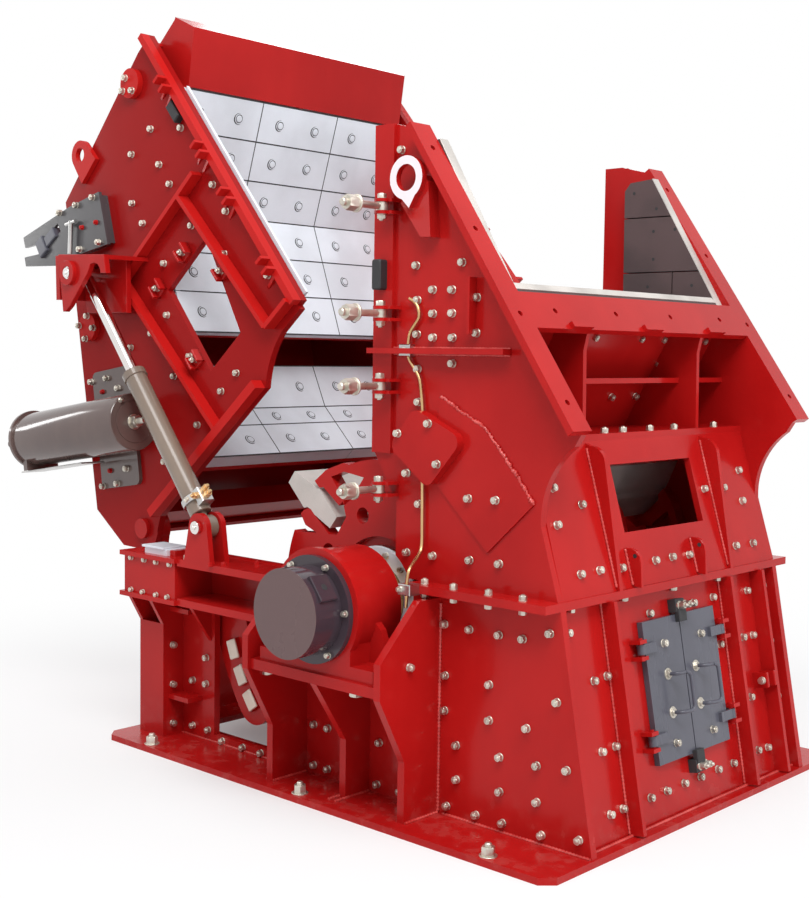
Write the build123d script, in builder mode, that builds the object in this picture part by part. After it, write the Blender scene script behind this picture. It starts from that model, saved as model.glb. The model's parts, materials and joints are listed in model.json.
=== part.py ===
# Impact crusher with its rear housing tilted open
# Millimetres, +Z up, +X towards the feed inlet, the near side is -Y.
# The origin is the centre of the foundation bolts on the floor.

import os
from math import atan2, cos, degrees, hypot, radians, sin

from build123d import *

# Main sizes: the rotor's length sets the width of the housing and of all that stands beside it
base_length = 2415
rotor_length = 1380
rotor_gap = 32
side_wall = 30
housing_width = rotor_length + 2 * (rotor_gap + side_wall)
half_wall = housing_width / 2
inner_wall = half_wall - side_wall

# Base frame
base_side = 248
base_width = housing_width + 2 * base_side
base_plate = 25
base_corner = 45
base_rim_x = 170
base_rim_y = 120
foundation_spacing_x = base_length - 565
foundation_inset = 40
foundation_spacing_y = base_width - 2 * foundation_inset
foundation_hole_d = 40

# Fixed housing
cross_wall = 25
mid_height = 870
mid_flange_t = 30
mid_flange_reach = 85
lower_front_foot_x = base_length / 2 - 7.5
lower_front_head_x = 1050
front_recess = 45
rear_wall_x = -1230
upper_rear_x = 171
upper_step_x = 287
upper_top_z = 2540
waist_x = 1037
neck_x = 960
neck_z = 1120
nose_x = 1117
nose_z = 1440
crest_x = 378
crest_z = 2510
crest_flat = 118

# Feed inlet
inlet_strip = 26
inlet_band = 105
inlet_beam_low_z = 1780
inlet_beam_high_z = 1905
hood_foot_x = 520
hood_head_x = 777
hood_head_z = 1880
hood_front_x = 873
hood_rib_z = 1608
hood_rib_x = 788
sill_x = 752
sill_z = 1950
shelf_z = 1393
window_width = 550
window_low_z = 1062
window_high_z = 1305
front_rib_y = 390
rib_plate = 20
feed_plate_t = 40
liner_t = 45
plate_joint = 5
liner_low_z = 1480
liner_split_x = 560
liner_seam_z = (1740, 2068, 2307)
edge_bar = 95
edge_bar_t = 15
ring_stand = 78
ring_y = half_wall + ring_stand
ring_t = 25
ring_radius = 78
ring_hole_d = 96
cover_t = 45
doubler_t = 8

# Outrigger boxes at the rear corners
box_rear_x = -1150
box_front_x = -770
box_low_z = 640
box_top_z = 836
box_out = 198
box_y = half_wall + box_out

# Access doors in the lower front wall
door_height = 520
door_width = 500
door_z = 477
door_plate = 22
door_gap = 6
door_hinge_out = 26
door_pin_d = 18

# Rotor
rotor_x = 150
rotor_z = 765
shaft_d = 260
journal_d = 180
hub_d = 400
hub_hole_d = 470
hub_seat = 35
disc_count = 4
disc_t = 60
disc_radius = 530
disc_hole_d = 64
disc_hole_ring = 322
bar_count = 4
bar_angle = 137
bar_tip = 665
bar_depth = 292

# Bearings and their pedestals
pedestal_rib = 32
pedestal_pitch = 350
shelf_top_z = 530
bearing_radius = 215
bearing_cap_radius = 165
bearing_length = 235
bearing_gap = 48
cap_length = 150
bearing_foot = 600
bearing_foot_t = 50
bearing_ring_t = 28
bearing_ring_out = 10
bearing_web_t = 30

# Tilting housing, drawn shut
hinge_x = -1262
hinge_z = 900
open_angle = 40.3
tilt_plate = 30
seal_gap = 3
tilt_top_z = 2540
roof_front_x = 62
roof_rear_x = -768
roof_rear_z = 2436
back_x = -1033
back_z = 1981
heel_x = -1505
heel_z = 1176
toe_x = -1440
seal_out = 44
seal_reach = half_wall + seal_out
seal_t = 30
clamp_lug_t = 14
clamp_lug_out = 90
clamp_lug_y = half_wall + clamp_lug_out
clamp_lug_depth = 40
clamp_gap = 20
hub_notch_x = -60
hub_notch_z = 955
parting_gap = 3
roof_plate = 20
side_window_low_z = 1145
side_window_high_z = 1600
hinge_pin_d = 90
tilt_rib_height = 55
hinge_clearance = 0.3

# Aprons that hang in the tilting housing
apron_top_x = 147
apron_top_z = 2244
apron_knee_x = -311
apron_knee_z = 1954
apron_end_x = -511
apron_end_z = 1423
apron_plate_t = 45
apron_back_t = 25
apron_columns = 3
lower_plate_t = 70
lower_apron_top_x = -755
lower_apron_top_z = 1430
lower_apron_knee_x = -813
lower_apron_knee_z = 1221
lower_apron_end_x = -788
lower_apron_end_z = 940
inner_gap = 12

# Cylinders that tilt the housing
cylinder_out = 148
cylinder_y = half_wall + cylinder_out
foot_pin_x = -634
foot_pin_z = 981
head_pin_x = -1495
head_pin_z = 2036
cylinder_pin_d = 50
barrel_d = 110
barrel_bore_d = 84
barrel_length = 800
rod_d = 52
eye_d = 96
eye_width = 48
ear_t = 24
ear_gap = 3
bracket_half = 62
pin_drift_x = 26
pin_drift_z = 12
pin_slack = 5

# Swing bolts that clamp the housing shut
swing_z = (1200, 1580, 1846, 2235)
swing_pin_x = 254
swing_out = 63
swing_y = half_wall + swing_out
swing_bolt_d = 26
swing_bolt_length = 190
swing_nut_d = 50
swing_nut_t = 34
swing_eye_d = 46
swing_eye_t = 30
swing_pin_d = 20
swing_lug_t = 12

leaned = radians(open_angle)


def upright(y):
    """Drawing plane of X and Z, seen from the near side; extrusions run to the near side."""
    return Plane(origin=(0, y, 0), x_dir=(1, 0, 0), z_dir=(0, -1, 0))


def leaning(y):
    """The same plane for the tilting housing: drawn shut, it stands open on its hinge."""
    forward = Vector(cos(leaned), 0, sin(leaned))
    upward = Vector(-sin(leaned), 0, cos(leaned))
    start = Vector(hinge_x, y, hinge_z) - forward * hinge_x - upward * hinge_z
    return Plane(origin=start, x_dir=forward, z_dir=(0, -1, 0))


def between(start, end, share):
    """A place on the line from start to end."""
    return (start[0] + (end[0] - start[0]) * share, start[1] + (end[1] - start[1]) * share)


def slope(start, end):
    """Angle in degrees of the line from start to end."""
    return degrees(atan2(end[1] - start[1], end[0] - start[0]))


def finish(part, name):
    """Label a piece and write it to its own file."""
    part.label = name
    export_step(part, f"parts/{name}.step")


os.makedirs("parts", exist_ok=True)

# Base frame: a flat ring of plate with foundation bolts outside the side walls
with BuildPart() as base_frame:
    with BuildSketch() as base_outline:
        Rectangle(base_length, base_width)
        chamfer(base_outline.vertices(), base_corner)
        Rectangle(base_length - 2 * base_rim_x, housing_width - 2 * base_rim_y, mode=Mode.SUBTRACT)
    extrude(amount=base_plate)
    with Locations((0, 0, base_plate)):
        with GridLocations(foundation_spacing_x, foundation_spacing_y, 2, 2):
            Hole(foundation_hole_d / 2)
    with Locations((0, 0, base_plate)):
        with GridLocations(0, foundation_spacing_y, 1, 2):
            Hole(foundation_hole_d / 2)
finish(base_frame.part, "base_frame")

# Lower side walls, with a discharge window behind the rotor and stiffened rear posts
lower_top = mid_height - mid_flange_t
window_rear_x = -765
post_rear_x = -1142
post_front_x = -977
post_depth = 110
post_shelf = 80
post_shelf_z = (200, 585)
post_flare_z = 520
window_low_edge = 55
window_high_edge = 615
window_edge_x = -265
with BuildPart() as lower_sides:
    with BuildSketch(upright(-inner_wall)):
        with BuildLine():
            Polyline(
                (rear_wall_x, base_plate),
                (lower_front_foot_x, base_plate),
                (lower_front_head_x, lower_top),
                (rear_wall_x + 120, lower_top),
                (rear_wall_x + 60, lower_top - 60),
                (rear_wall_x, lower_top - 70),
                close=True,
            )
        make_face()
        with Locations(((window_rear_x + window_edge_x) / 2, (window_low_edge + window_high_edge) / 2)):
            Rectangle(
                window_edge_x - window_rear_x,
                window_high_edge - window_low_edge,
                mode=Mode.SUBTRACT,
            )
        with Locations((rotor_x, rotor_z)):
            Circle(hub_d / 2 + 30, mode=Mode.SUBTRACT)
            with Locations((0, 200)):
                Rectangle(hub_d + 60, 400, mode=Mode.SUBTRACT)
    extrude(amount=side_wall)
    for rib_x in (post_rear_x, post_front_x - rib_plate, window_rear_x - 2 * rib_plate):
        with BuildSketch(Plane.YZ.offset(rib_x)):
            Polygon(
                (-half_wall, base_plate if rib_x < post_front_x else post_flare_z - 60),
                (-half_wall - post_depth, base_plate if rib_x < post_front_x else box_low_z - 20),
                (-half_wall - post_depth, post_flare_z if rib_x < post_front_x else box_low_z - 10),
                (-half_wall - box_out + rib_plate, box_low_z),
                (-half_wall, box_low_z),
                align=None,
            )
        extrude(amount=rib_plate)
    with Locations(
        (
            (post_rear_x + post_front_x) / 2,
            -half_wall - post_depth + rib_plate / 2,
            (base_plate + post_flare_z) / 2,
        )
    ):
        Box(post_front_x - post_rear_x, rib_plate, post_flare_z - base_plate)
    for rib_z in post_shelf_z:
        with Locations(((post_front_x + window_rear_x) / 2 - 40, -half_wall - post_shelf / 2, rib_z)):
            Box(window_rear_x - post_front_x - 80, post_shelf, rib_plate)
    mirror(about=Plane.XZ)
finish(lower_sides.part, "lower_sides")

# Lower front wall: leans back, with ribs and the doorway of the two access doors
wall_rise = lower_top - base_plate
wall_run = lower_front_foot_x - lower_front_head_x
wall_lean = degrees(atan2(wall_run, wall_rise))
wall_foot_x = lower_front_foot_x - front_recess
wall_face = Plane(
    origin=(wall_foot_x, 0, base_plate),
    x_dir=(0, 1, 0),
    z_dir=(cos(radians(wall_lean)), 0, sin(radians(wall_lean))),
)
wall_span = hypot(wall_rise, wall_run)
door_up = (door_z - base_plate) / cos(radians(wall_lean))
doorway_width = door_width - 2 * 40
doorway_height = door_height - 2 * 40
with BuildPart() as lower_front_wall:
    with BuildSketch(wall_face):
        with Locations((0, wall_span / 2)):
            Rectangle(2 * inner_wall, wall_span)
        with Locations((0, door_up)):
            Rectangle(doorway_width, doorway_height, mode=Mode.SUBTRACT)
    extrude(amount=-cross_wall)
    with BuildSketch(wall_face):
        for rib_y in (-front_rib_y - 60, front_rib_y - 30, inner_wall - 110):
            with Locations((rib_y, wall_span / 2)):
                Rectangle(rib_plate, wall_span)
    extrude(amount=60)
    split(bisect_by=Plane.XY.offset(base_plate), keep=Keep.TOP)
    split(bisect_by=Plane.XY.offset(lower_top), keep=Keep.BOTTOM)
finish(lower_front_wall.part, "lower_front_wall")

# Lower rear wall between the posts
with BuildPart() as rear_wall:
    with BuildSketch(Plane.YZ.offset(rear_wall_x)):
        with Locations((0, base_plate + 290)):
            Rectangle(2 * inner_wall, 580)
    extrude(amount=cross_wall)
    for rib_y in (-350, 0, 350):
        with Locations((rear_wall_x - 30, rib_y, base_plate + 290)):
            Box(60, rib_plate, 580)
finish(rear_wall.part, "rear_wall")

# Parting flange on top of the lower walls, open at the back over the rotor
with BuildPart() as mid_flange:
    with BuildSketch(Plane.XY.offset(lower_top)):
        flange_rear_x = rotor_x + hub_d / 2 + 60
        flange_front_x = lower_front_head_x
        flange_length = flange_front_x - flange_rear_x
        with Locations(((flange_rear_x + flange_front_x) / 2, 0)):
            Rectangle(flange_length, 2 * (half_wall + mid_flange_reach))
        with Locations(((flange_rear_x + flange_front_x) / 2 - 120, 0)):
            Rectangle(flange_length, 2 * inner_wall, mode=Mode.SUBTRACT)
    extrude(amount=mid_flange_t)
finish(mid_flange.part, "mid_flange")

# Fixed side plates beside the feed inlet, with the bar on their rear edge
waist_z = mid_height
cover_outline = ((287, 1358), (408, 1504), (644, 1402), (480, 1216))
doubler_outline = ((503, 1546), (709, 1442), (858, 1280), (931, 1192), (732, 1007), (470, 1250))
side_rib_z = 1710
side_rib_end_x = 820
side_rib_height = 50
with BuildPart() as upper_sides:
    with BuildSketch(upright(-inner_wall)):
        with BuildLine():
            Polyline(
                (waist_x, waist_z),
                (upper_step_x, waist_z),
                (upper_step_x, 1150),
                (upper_rear_x, 1330),
                (upper_rear_x, upper_top_z),
                (crest_x - crest_flat, upper_top_z),
                (crest_x, crest_z),
                (nose_x, nose_z),
                (nose_x - 25, nose_z - 40),
            )
            ThreePointArc((nose_x - 25, nose_z - 40), (993, 1285), (neck_x, neck_z))
            Line((neck_x, neck_z), (waist_x, waist_z))
        make_face()
        with Locations((rotor_x, rotor_z)):
            Circle(hub_d / 2 + 30, mode=Mode.SUBTRACT)
    extrude(amount=side_wall)
    with BuildSketch(upright(-half_wall)):
        with Locations((upper_rear_x + edge_bar / 2, (1330 + upper_top_z) / 2)):
            Rectangle(edge_bar, upper_top_z - 1330)
    extrude(amount=edge_bar_t)
    with BuildSketch(upright(-half_wall)):
        Polygon(*doubler_outline, align=None)
    extrude(amount=doubler_t)
    with BuildSketch(upright(-half_wall)) as cover_face:
        Polygon(*cover_outline, align=None)
        fillet(cover_face.vertices(), 38)
    extrude(amount=cover_t)
    with Locations(((upper_rear_x + side_rib_end_x) / 2, -half_wall - side_rib_height / 2, side_rib_z)):
        Box(side_rib_end_x - upper_rear_x, side_rib_height, rib_plate)
    with Locations((653, -half_wall - 20, side_rib_z + 160)):
        Box(12, 40, 200)
    mirror(about=Plane.XZ)
finish(upper_sides.part, "upper_sides")

# Lifting rings near the top of the fixed side plates, each on its own gusset
ring_centre = (385, 2328)
ring_tip = (401, 2220)
with BuildPart() as lifting_rings:
    with BuildSketch(upright(-half_wall)):
        Polygon((397, 2364), (470, 2310), (484, 2115), (436, 2117), (340, 2240), align=None)
    extrude(amount=ring_y - ring_t - half_wall)
    with BuildSketch(upright(-ring_y + ring_t)):
        with Locations(ring_centre):
            Circle(ring_radius)
        Polygon(
            (ring_centre[0] - ring_radius, ring_centre[1] - 20),
            ring_tip,
            (ring_centre[0] + ring_radius, ring_centre[1] - 10),
            align=None,
        )
        with Locations(ring_centre):
            Circle(ring_hole_d / 2, mode=Mode.SUBTRACT)
    extrude(amount=ring_t)
    with BuildSketch(upright(-half_wall)):
        with Locations(ring_centre):
            Circle(ring_hole_d / 2)
    extrude(amount=ring_y - half_wall, mode=Mode.SUBTRACT)
    mirror(about=Plane.XZ)
finish(lifting_rings.part, "lifting_rings")

# Upper front wall with the inspection window
panel_rise = shelf_z - waist_z
panel_run = waist_x - 883
panel_lean = degrees(atan2(panel_run, panel_rise))
panel_span = hypot(panel_rise, panel_run)
panel_face = Plane(
    origin=(waist_x, 0, waist_z),
    x_dir=(0, 1, 0),
    z_dir=(cos(radians(panel_lean)), 0, sin(radians(panel_lean))),
)
window_up = ((window_low_z + window_high_z) / 2 - waist_z) / cos(radians(panel_lean))
window_tall = (window_high_z - window_low_z) / cos(radians(panel_lean))
rib_shoulder = (972, 1326)
rib_crown = (951, 1362)
rib_head = (908, 1379)
with BuildPart() as front_panel:
    with BuildSketch(panel_face):
        with Locations((0, panel_span / 2)):
            Rectangle(2 * inner_wall, panel_span)
        with Locations((0, window_up)):
            Rectangle(window_width, window_tall, mode=Mode.SUBTRACT)
    extrude(amount=-cross_wall)
    for rib_y in (-front_rib_y, front_rib_y):
        with BuildSketch(upright(rib_y + rib_plate / 2)):
            with BuildLine():
                Polyline(
                    rib_head,
                    (waist_x - panel_run - cross_wall / 2, shelf_z),
                    (waist_x - cross_wall / 2, waist_z),
                    (lower_front_head_x, waist_z),
                    rib_shoulder,
                )
                ThreePointArc(rib_shoulder, rib_crown, rib_head)
            make_face()
        extrude(amount=rib_plate)
    split(bisect_by=Plane.XY.offset(waist_z), keep=Keep.TOP)
    split(bisect_by=Plane.XY.offset(shelf_z), keep=Keep.BOTTOM)
finish(front_panel.part, "front_panel")

# Hood above the window: a shelf, a leaning back wall and two tall gussets
def incline_x(z):
    """Front edge of the side plates at a height on the slope."""
    return nose_x - (z - nose_z) * (nose_x - crest_x) / (crest_z - nose_z)


panel_head_x = waist_x - panel_run
hood_top_x = incline_x(hood_head_z)
hood_slope = (hood_head_x - hood_foot_x) / (hood_head_z - shelf_z)
with BuildPart() as inlet_hood:
    with BuildSketch(upright(inner_wall)):
        Polygon(
            (panel_head_x, shelf_z),
            (hood_foot_x - cross_wall, shelf_z),
            (hood_head_x - cross_wall, hood_head_z),
            (hood_top_x, hood_head_z),
            (hood_head_x, hood_head_z - cross_wall),
            (hood_foot_x + 14, shelf_z + cross_wall),
            (panel_head_x, shelf_z + cross_wall),
            align=None,
        )
        rib_back_x = hood_foot_x + hood_slope * (hood_rib_z - shelf_z) - 6
        with Locations(((rib_back_x + hood_rib_x) / 2, hood_rib_z)):
            Rectangle(hood_rib_x - rib_back_x, rib_plate)
    extrude(amount=2 * inner_wall)
    for gusset_y in (-front_rib_y + rib_plate / 2, front_rib_y + rib_plate / 2):
        with BuildSketch(upright(gusset_y)):
            Polygon(
                (hood_front_x, shelf_z),
                (hood_foot_x, shelf_z),
                (hood_head_x, hood_head_z),
                (hood_top_x, hood_head_z),
                (incline_x(inlet_beam_low_z), inlet_beam_low_z),
                (hood_front_x - 5, inlet_beam_low_z - 60),
                align=None,
            )
        extrude(amount=rib_plate)
finish(inlet_hood.part, "inlet_hood")

# Sloping frame round the feed inlet, bolted on by the feeder
incline_run = nose_x - crest_x
incline_rise = crest_z - nose_z
incline = degrees(atan2(incline_run, incline_rise))
incline_span = hypot(incline_run, incline_rise)
frame_face = Plane(
    origin=(nose_x, 0, nose_z),
    x_dir=(0, 1, 0),
    z_dir=(cos(radians(incline)), 0, sin(radians(incline))),
)
beam_from = (inlet_beam_low_z - nose_z) / cos(radians(incline))
beam_to = (inlet_beam_high_z - nose_z) / cos(radians(incline))
beam_up = (beam_from + beam_to) / 2
strip_y = inner_wall + inlet_band / 2
frame_hole_d = 22
with BuildPart() as inlet_frame:
    with BuildSketch(frame_face):
        for side in (-1, 1):
            with Locations((side * strip_y, incline_span / 2)):
                Rectangle(inlet_band, incline_span)
                with GridLocations(0, incline_span * 0.276, 1, 4):
                    Circle(frame_hole_d / 2, mode=Mode.SUBTRACT)
        with Locations((0, beam_up)):
            Rectangle(2 * inner_wall, beam_to - beam_from)
            with GridLocations(inner_wall * 0.52, 0, 4, 1):
                Circle(frame_hole_d / 2, mode=Mode.SUBTRACT)
    extrude(amount=inlet_strip)
    with BuildSketch(frame_face.offset(inlet_strip)):
        with Locations((0, beam_from + 12)):
            with GridLocations(inner_wall * 0.64, 0, 3, 1):
                Rectangle(120, 24)
    extrude(amount=16)
finish(inlet_frame.part, "inlet_frame")

# Feed plate that leads the stone down onto the rotor, and the wear sill on its head
feed_half = inner_wall - liner_t
feed_foot_z = shelf_z + 17
feed_front_x = hood_foot_x - cross_wall + hood_slope * (feed_foot_z - shelf_z)
feed_head_x = hood_head_x - cross_wall
with BuildPart() as feed_plate:
    with BuildSketch(upright(feed_half)):
        Polygon(
            (incline_x(inlet_beam_high_z + 3), inlet_beam_high_z + 3),
            (sill_x, sill_z),
            (feed_head_x - feed_plate_t, hood_head_z + 40),
            (feed_front_x - feed_plate_t, feed_foot_z),
            (feed_front_x, feed_foot_z),
            (feed_head_x, hood_head_z),
            align=None,
        )
    extrude(amount=2 * feed_half)
finish(feed_plate.part, "feed_plate")

# Liners on the inside of the fixed side plates, cut into single wear plates by their joints
liner_rear_x = upper_rear_x + 144
liner_foot_x = hood_foot_x - cross_wall + hood_slope * (liner_low_z - shelf_z) - 5
liner_head_x = hood_head_x - cross_wall - 5
with BuildPart() as inlet_liners:
    with BuildSketch(upright(-inner_wall + liner_t)):
        Polygon(
            (liner_rear_x, liner_low_z),
            (liner_rear_x - 8, crest_z - 84),
            (liner_rear_x + 21, crest_z - 49),
            (liner_rear_x + 131, crest_z - 39),
            (incline_x(1919) - 8, 1919),
            (liner_head_x, hood_head_z),
            (liner_foot_x, liner_low_z),
            align=None,
        )
        for seam_z in liner_seam_z:
            with Locations((liner_rear_x + 250, seam_z)):
                Rectangle(700, plate_joint, mode=Mode.SUBTRACT)
        with Locations((liner_split_x, (liner_low_z + liner_seam_z[1]) / 2)):
            Rectangle(plate_joint, liner_seam_z[1] - liner_low_z, mode=Mode.SUBTRACT)
    extrude(amount=liner_t)
    mirror(about=Plane.XZ)
finish(inlet_liners.part, "inlet_liners")

# Lug plates of the swing bolts on the rear edges of the fixed side plates
with BuildPart() as swing_lugs:
    for lug_z in swing_z:
        for side in (-1, 1):
            offset_z = side * (swing_eye_t / 2 + 1 + swing_lug_t / 2)
            with BuildSketch(Plane.XY.offset(lug_z + offset_z - swing_lug_t / 2)):
                with Locations((swing_pin_x, -swing_y)):
                    Circle(28)
                with Locations((swing_pin_x + 10, -(swing_y + half_wall) / 2)):
                    Rectangle(76, swing_y - half_wall)
                with Locations((swing_pin_x, -swing_y)):
                    Circle(swing_pin_d / 2 + 0.3, mode=Mode.SUBTRACT)
            extrude(amount=swing_lug_t)
    mirror(about=Plane.XZ)
    add(upper_sides.part, mode=Mode.SUBTRACT)
finish(swing_lugs.part, "swing_lugs")

# Pedestals that carry the bearings: three ribs, a shelf and a back plate on each side
with BuildPart() as pedestals:
    for step in (-1, 0, 1):
        rib_x = rotor_x + step * pedestal_pitch
        depth = 185 if step else 130
        head_z = mid_height - 50 if step else shelf_top_z - 40
        with BuildSketch(Plane.YZ.offset(rib_x - pedestal_rib / 2)):
            with BuildLine():
                Polyline(
                    (-half_wall, base_plate),
                    (-half_wall - depth, base_plate),
                    (-half_wall - depth, 250),
                    (-half_wall - 315 + 0.45 * (185 - depth), shelf_top_z - 40),
                    (-half_wall - (315 if step else 290), shelf_top_z + (90 if step else -40)),
                    (-half_wall - (115 if step else 200), head_z),
                    (-half_wall, head_z),
                    close=True,
                )
            make_face()
        extrude(amount=pedestal_rib)
    with Locations((rotor_x, -half_wall - 150, shelf_top_z - 20)):
        Box(2 * pedestal_pitch - pedestal_rib, 300, 40)
    mirror(about=Plane.XZ)
finish(pedestals.part, "pedestals")

# Bearing housings on the pedestal shelves
bearing_inner_y = half_wall + bearing_gap
with BuildPart() as bearing_housings:
    with BuildSketch(upright(-bearing_inner_y)):
        with Locations((rotor_x, rotor_z)):
            Circle(bearing_radius)
        with Locations((rotor_x, (rotor_z + shelf_top_z) / 2)):
            Rectangle(2 * bearing_radius - 60, rotor_z - shelf_top_z)
        with Locations((rotor_x, shelf_top_z + bearing_foot_t / 2)):
            Rectangle(bearing_foot, bearing_foot_t)
    extrude(amount=bearing_length)
    with BuildSketch(upright(-bearing_inner_y - bearing_length + bearing_ring_t)):
        with Locations((rotor_x, rotor_z)):
            Circle(bearing_radius + bearing_ring_out)
    extrude(amount=bearing_ring_t)
    for side in (-1, 1):
        with BuildSketch(upright(-bearing_inner_y - bearing_length / 2 + bearing_web_t / 2)):
            Polygon(
                (rotor_x + side * (bearing_radius - 60), shelf_top_z + bearing_foot_t),
                (rotor_x + side * (bearing_foot / 2 - 12), shelf_top_z + bearing_foot_t),
                (rotor_x + side * (bearing_radius + 22), rotor_z - 60),
                (rotor_x + side * (bearing_radius - 40), rotor_z),
                align=None,
            )
        extrude(amount=bearing_web_t)
    with BuildSketch(upright(-bearing_inner_y)):
        with Locations((rotor_x, rotor_z)):
            Circle(journal_d / 2 + hinge_clearance)
    extrude(amount=bearing_length, mode=Mode.SUBTRACT)
    mirror(about=Plane.XZ)
finish(bearing_housings.part, "bearing_housings")

# Bearing end covers
cap_y = bearing_inner_y + bearing_length
with BuildPart() as bearing_covers:
    with BuildSketch(upright(-cap_y)):
        with Locations((rotor_x, rotor_z)):
            Circle(bearing_cap_radius + 35)
    extrude(amount=22)
    with BuildSketch(upright(-cap_y - 22)):
        with Locations((rotor_x, rotor_z)):
            Circle(bearing_cap_radius)
    extrude(amount=cap_length - 22)
    with BuildSketch(upright(-cap_y)):
        with Locations((rotor_x, rotor_z)):
            Circle(journal_d / 2 + 10)
    extrude(amount=60, mode=Mode.SUBTRACT)
    mirror(about=Plane.XZ)
finish(bearing_covers.part, "bearing_covers")

# Rotor shaft with its hubs and journals
shaft_end_y = cap_y + 40
with BuildPart() as rotor_shaft:
    with BuildSketch(upright(shaft_end_y)):
        with Locations((rotor_x, rotor_z)):
            Circle(journal_d / 2)
    extrude(amount=2 * shaft_end_y)
    with BuildSketch(upright(bearing_inner_y - 20)):
        with Locations((rotor_x, rotor_z)):
            Circle(shaft_d / 2)
    extrude(amount=2 * (bearing_inner_y - 20))
    hub_from = rotor_length / 2 - hub_seat
    for hub_y in (half_wall + 10, -hub_from):
        with BuildSketch(upright(hub_y)):
            with Locations((rotor_x, rotor_z)):
                Circle(hub_d / 2)
        extrude(amount=half_wall + 10 - hub_from)
finish(rotor_shaft.part, "rotor_shaft")

# Blow bars: stepped bars that wedge themselves in the discs' pockets.
# Bars and pockets are drawn pointing along +X from the rotor's axis, then turned into place.
bar_root = bar_tip - bar_depth
bar_outline = (
    (bar_root, -46),
    (bar_root - 5, 15),
    (bar_root + 92, 42),
    (bar_root + 121, 42),
    (bar_root + 142, 51),
    (bar_root + 152, 68),
    (bar_tip - 6, 61),
    (bar_tip, 1),
    (bar_tip - 103, -34),
    (bar_tip - 133, -40),
    (bar_tip - 148, -55),
    (bar_root + 112, -53),
)
with BuildPart() as blow_bars:
    with BuildSketch(upright(rotor_length / 2)):
        with Locations((rotor_x, rotor_z)):
            with PolarLocations(0, bar_count, start_angle=bar_angle):
                Polygon(*bar_outline, align=None)
    extrude(amount=rotor_length)
finish(blow_bars.part, "blow_bars")

# Rotor discs: each pocket lies between a forked finger and a jaw
finger_outline = (
    (disc_radius - 150, -300),
    (disc_radius - 34, -228),
    (disc_radius + 13, -139),
    (disc_radius + 28, -57),
    (disc_radius - 8, -57),
    (disc_radius - 150, -90),
)
pocket_outline = (
    (disc_radius + 80, -57),
    (disc_radius - 8, -57),
    (disc_radius - 25, -76),
    (disc_radius - 134, -88),
    (bar_root + 20, -116),
    (bar_root - 35, -85),
    (bar_root - 49, 5),
    (bar_root - 16, 38),
    (bar_root + 92, 42),
    (bar_root + 121, 42),
    (bar_root + 137, 55),
    (bar_root + 147, 76),
    (bar_root + 145, 88),
    (disc_radius + 80, 88),
)
jaw_notch = (
    (disc_radius - 58, 112),
    (disc_radius - 123, 86),
    (disc_radius - 45, 170),
    (disc_radius + 30, 190),
    (disc_radius + 30, 90),
)
fork_outline = (
    (disc_radius - 25, -138),
    (disc_radius - 60, -205),
    (disc_radius - 150, -268),
    (bar_root - 6, -164),
    (bar_root + 4, -105),
    (disc_radius - 136, -124),
)
with BuildPart() as rotor_discs:
    with BuildSketch(upright(rotor_length / 2)):
        with Locations((rotor_x, rotor_z)):
            Circle(disc_radius)
            with PolarLocations(0, bar_count, start_angle=bar_angle):
                Polygon(*finger_outline, align=None)
            with PolarLocations(0, bar_count, start_angle=bar_angle):
                Polygon(*pocket_outline, align=None, mode=Mode.SUBTRACT)
                Polygon(*jaw_notch, align=None, mode=Mode.SUBTRACT)
                Polygon(*fork_outline, align=None, mode=Mode.SUBTRACT)
            with PolarLocations(disc_hole_ring, 2 * bar_count, start_angle=bar_angle - 41.3 + 12):
                Circle(disc_hole_d / 2, mode=Mode.SUBTRACT)
            Circle(shaft_d / 2, mode=Mode.SUBTRACT)
    extrude(amount=rotor_length)
    disc_gap = (rotor_length - disc_count * disc_t) / (disc_count - 1)
    for k in range(disc_count - 1):
        gap_y = -rotor_length / 2 + disc_t + disc_gap / 2 + k * (disc_gap + disc_t)
        with Locations((rotor_x, gap_y, rotor_z)):
            Box(3 * disc_radius, disc_gap, 3 * disc_radius, mode=Mode.SUBTRACT)
    for gap_y in (rotor_length / 2, -rotor_length / 2 + hub_seat):
        with BuildSketch(upright(gap_y)):
            with Locations((rotor_x, rotor_z)):
                Circle(hub_hole_d / 2)
        extrude(amount=hub_seat, mode=Mode.SUBTRACT)
finish(rotor_discs.part, "rotor_discs")

# Grinding path behind the rotor: two cheeks and the bars between them
path_inner_radius = 790
path_outer_radius = 990
path_from = 188
path_to = 217
path_cheek_t = 40
path_inset = 57
path_bar_count = 3
path_bar_from = 201.6
path_bar_step = 7.4
path_shaft_d = 90
path_y = inner_wall - path_inset
path_bar_radius = (path_inner_radius + path_outer_radius) / 2
with BuildPart() as grinding_path:
    with BuildSketch(upright(-path_y)):
        with BuildLine():
            path_centre = (rotor_x, rotor_z)
            inner_arc = CenterArc(path_centre, path_inner_radius, path_from, path_to - path_from)
            outer_arc = CenterArc(path_centre, path_outer_radius, path_from, path_to - path_from)
            Line(inner_arc @ 0, outer_arc @ 0)
            ThreePointArc(
                inner_arc @ 1,
                (inner_arc @ 1 + outer_arc @ 1) / 2 + (inner_arc % 1) * (path_outer_radius - path_inner_radius) / 2,
                outer_arc @ 1,
            )
        make_face()
    extrude(amount=path_cheek_t)
    mirror(about=Plane.XZ)
    with BuildSketch(upright(inner_wall)):
        with Locations((rotor_x, rotor_z)):
            for number in range(path_bar_count):
                with PolarLocations(path_bar_radius, 1, start_angle=path_bar_from + number * path_bar_step):
                    Rectangle(60, 85)
            with PolarLocations(path_bar_radius, 1, start_angle=path_from + 1):
                Circle(path_shaft_d / 2)
    extrude(amount=2 * inner_wall)
finish(grinding_path.part, "grinding_path")

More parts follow.
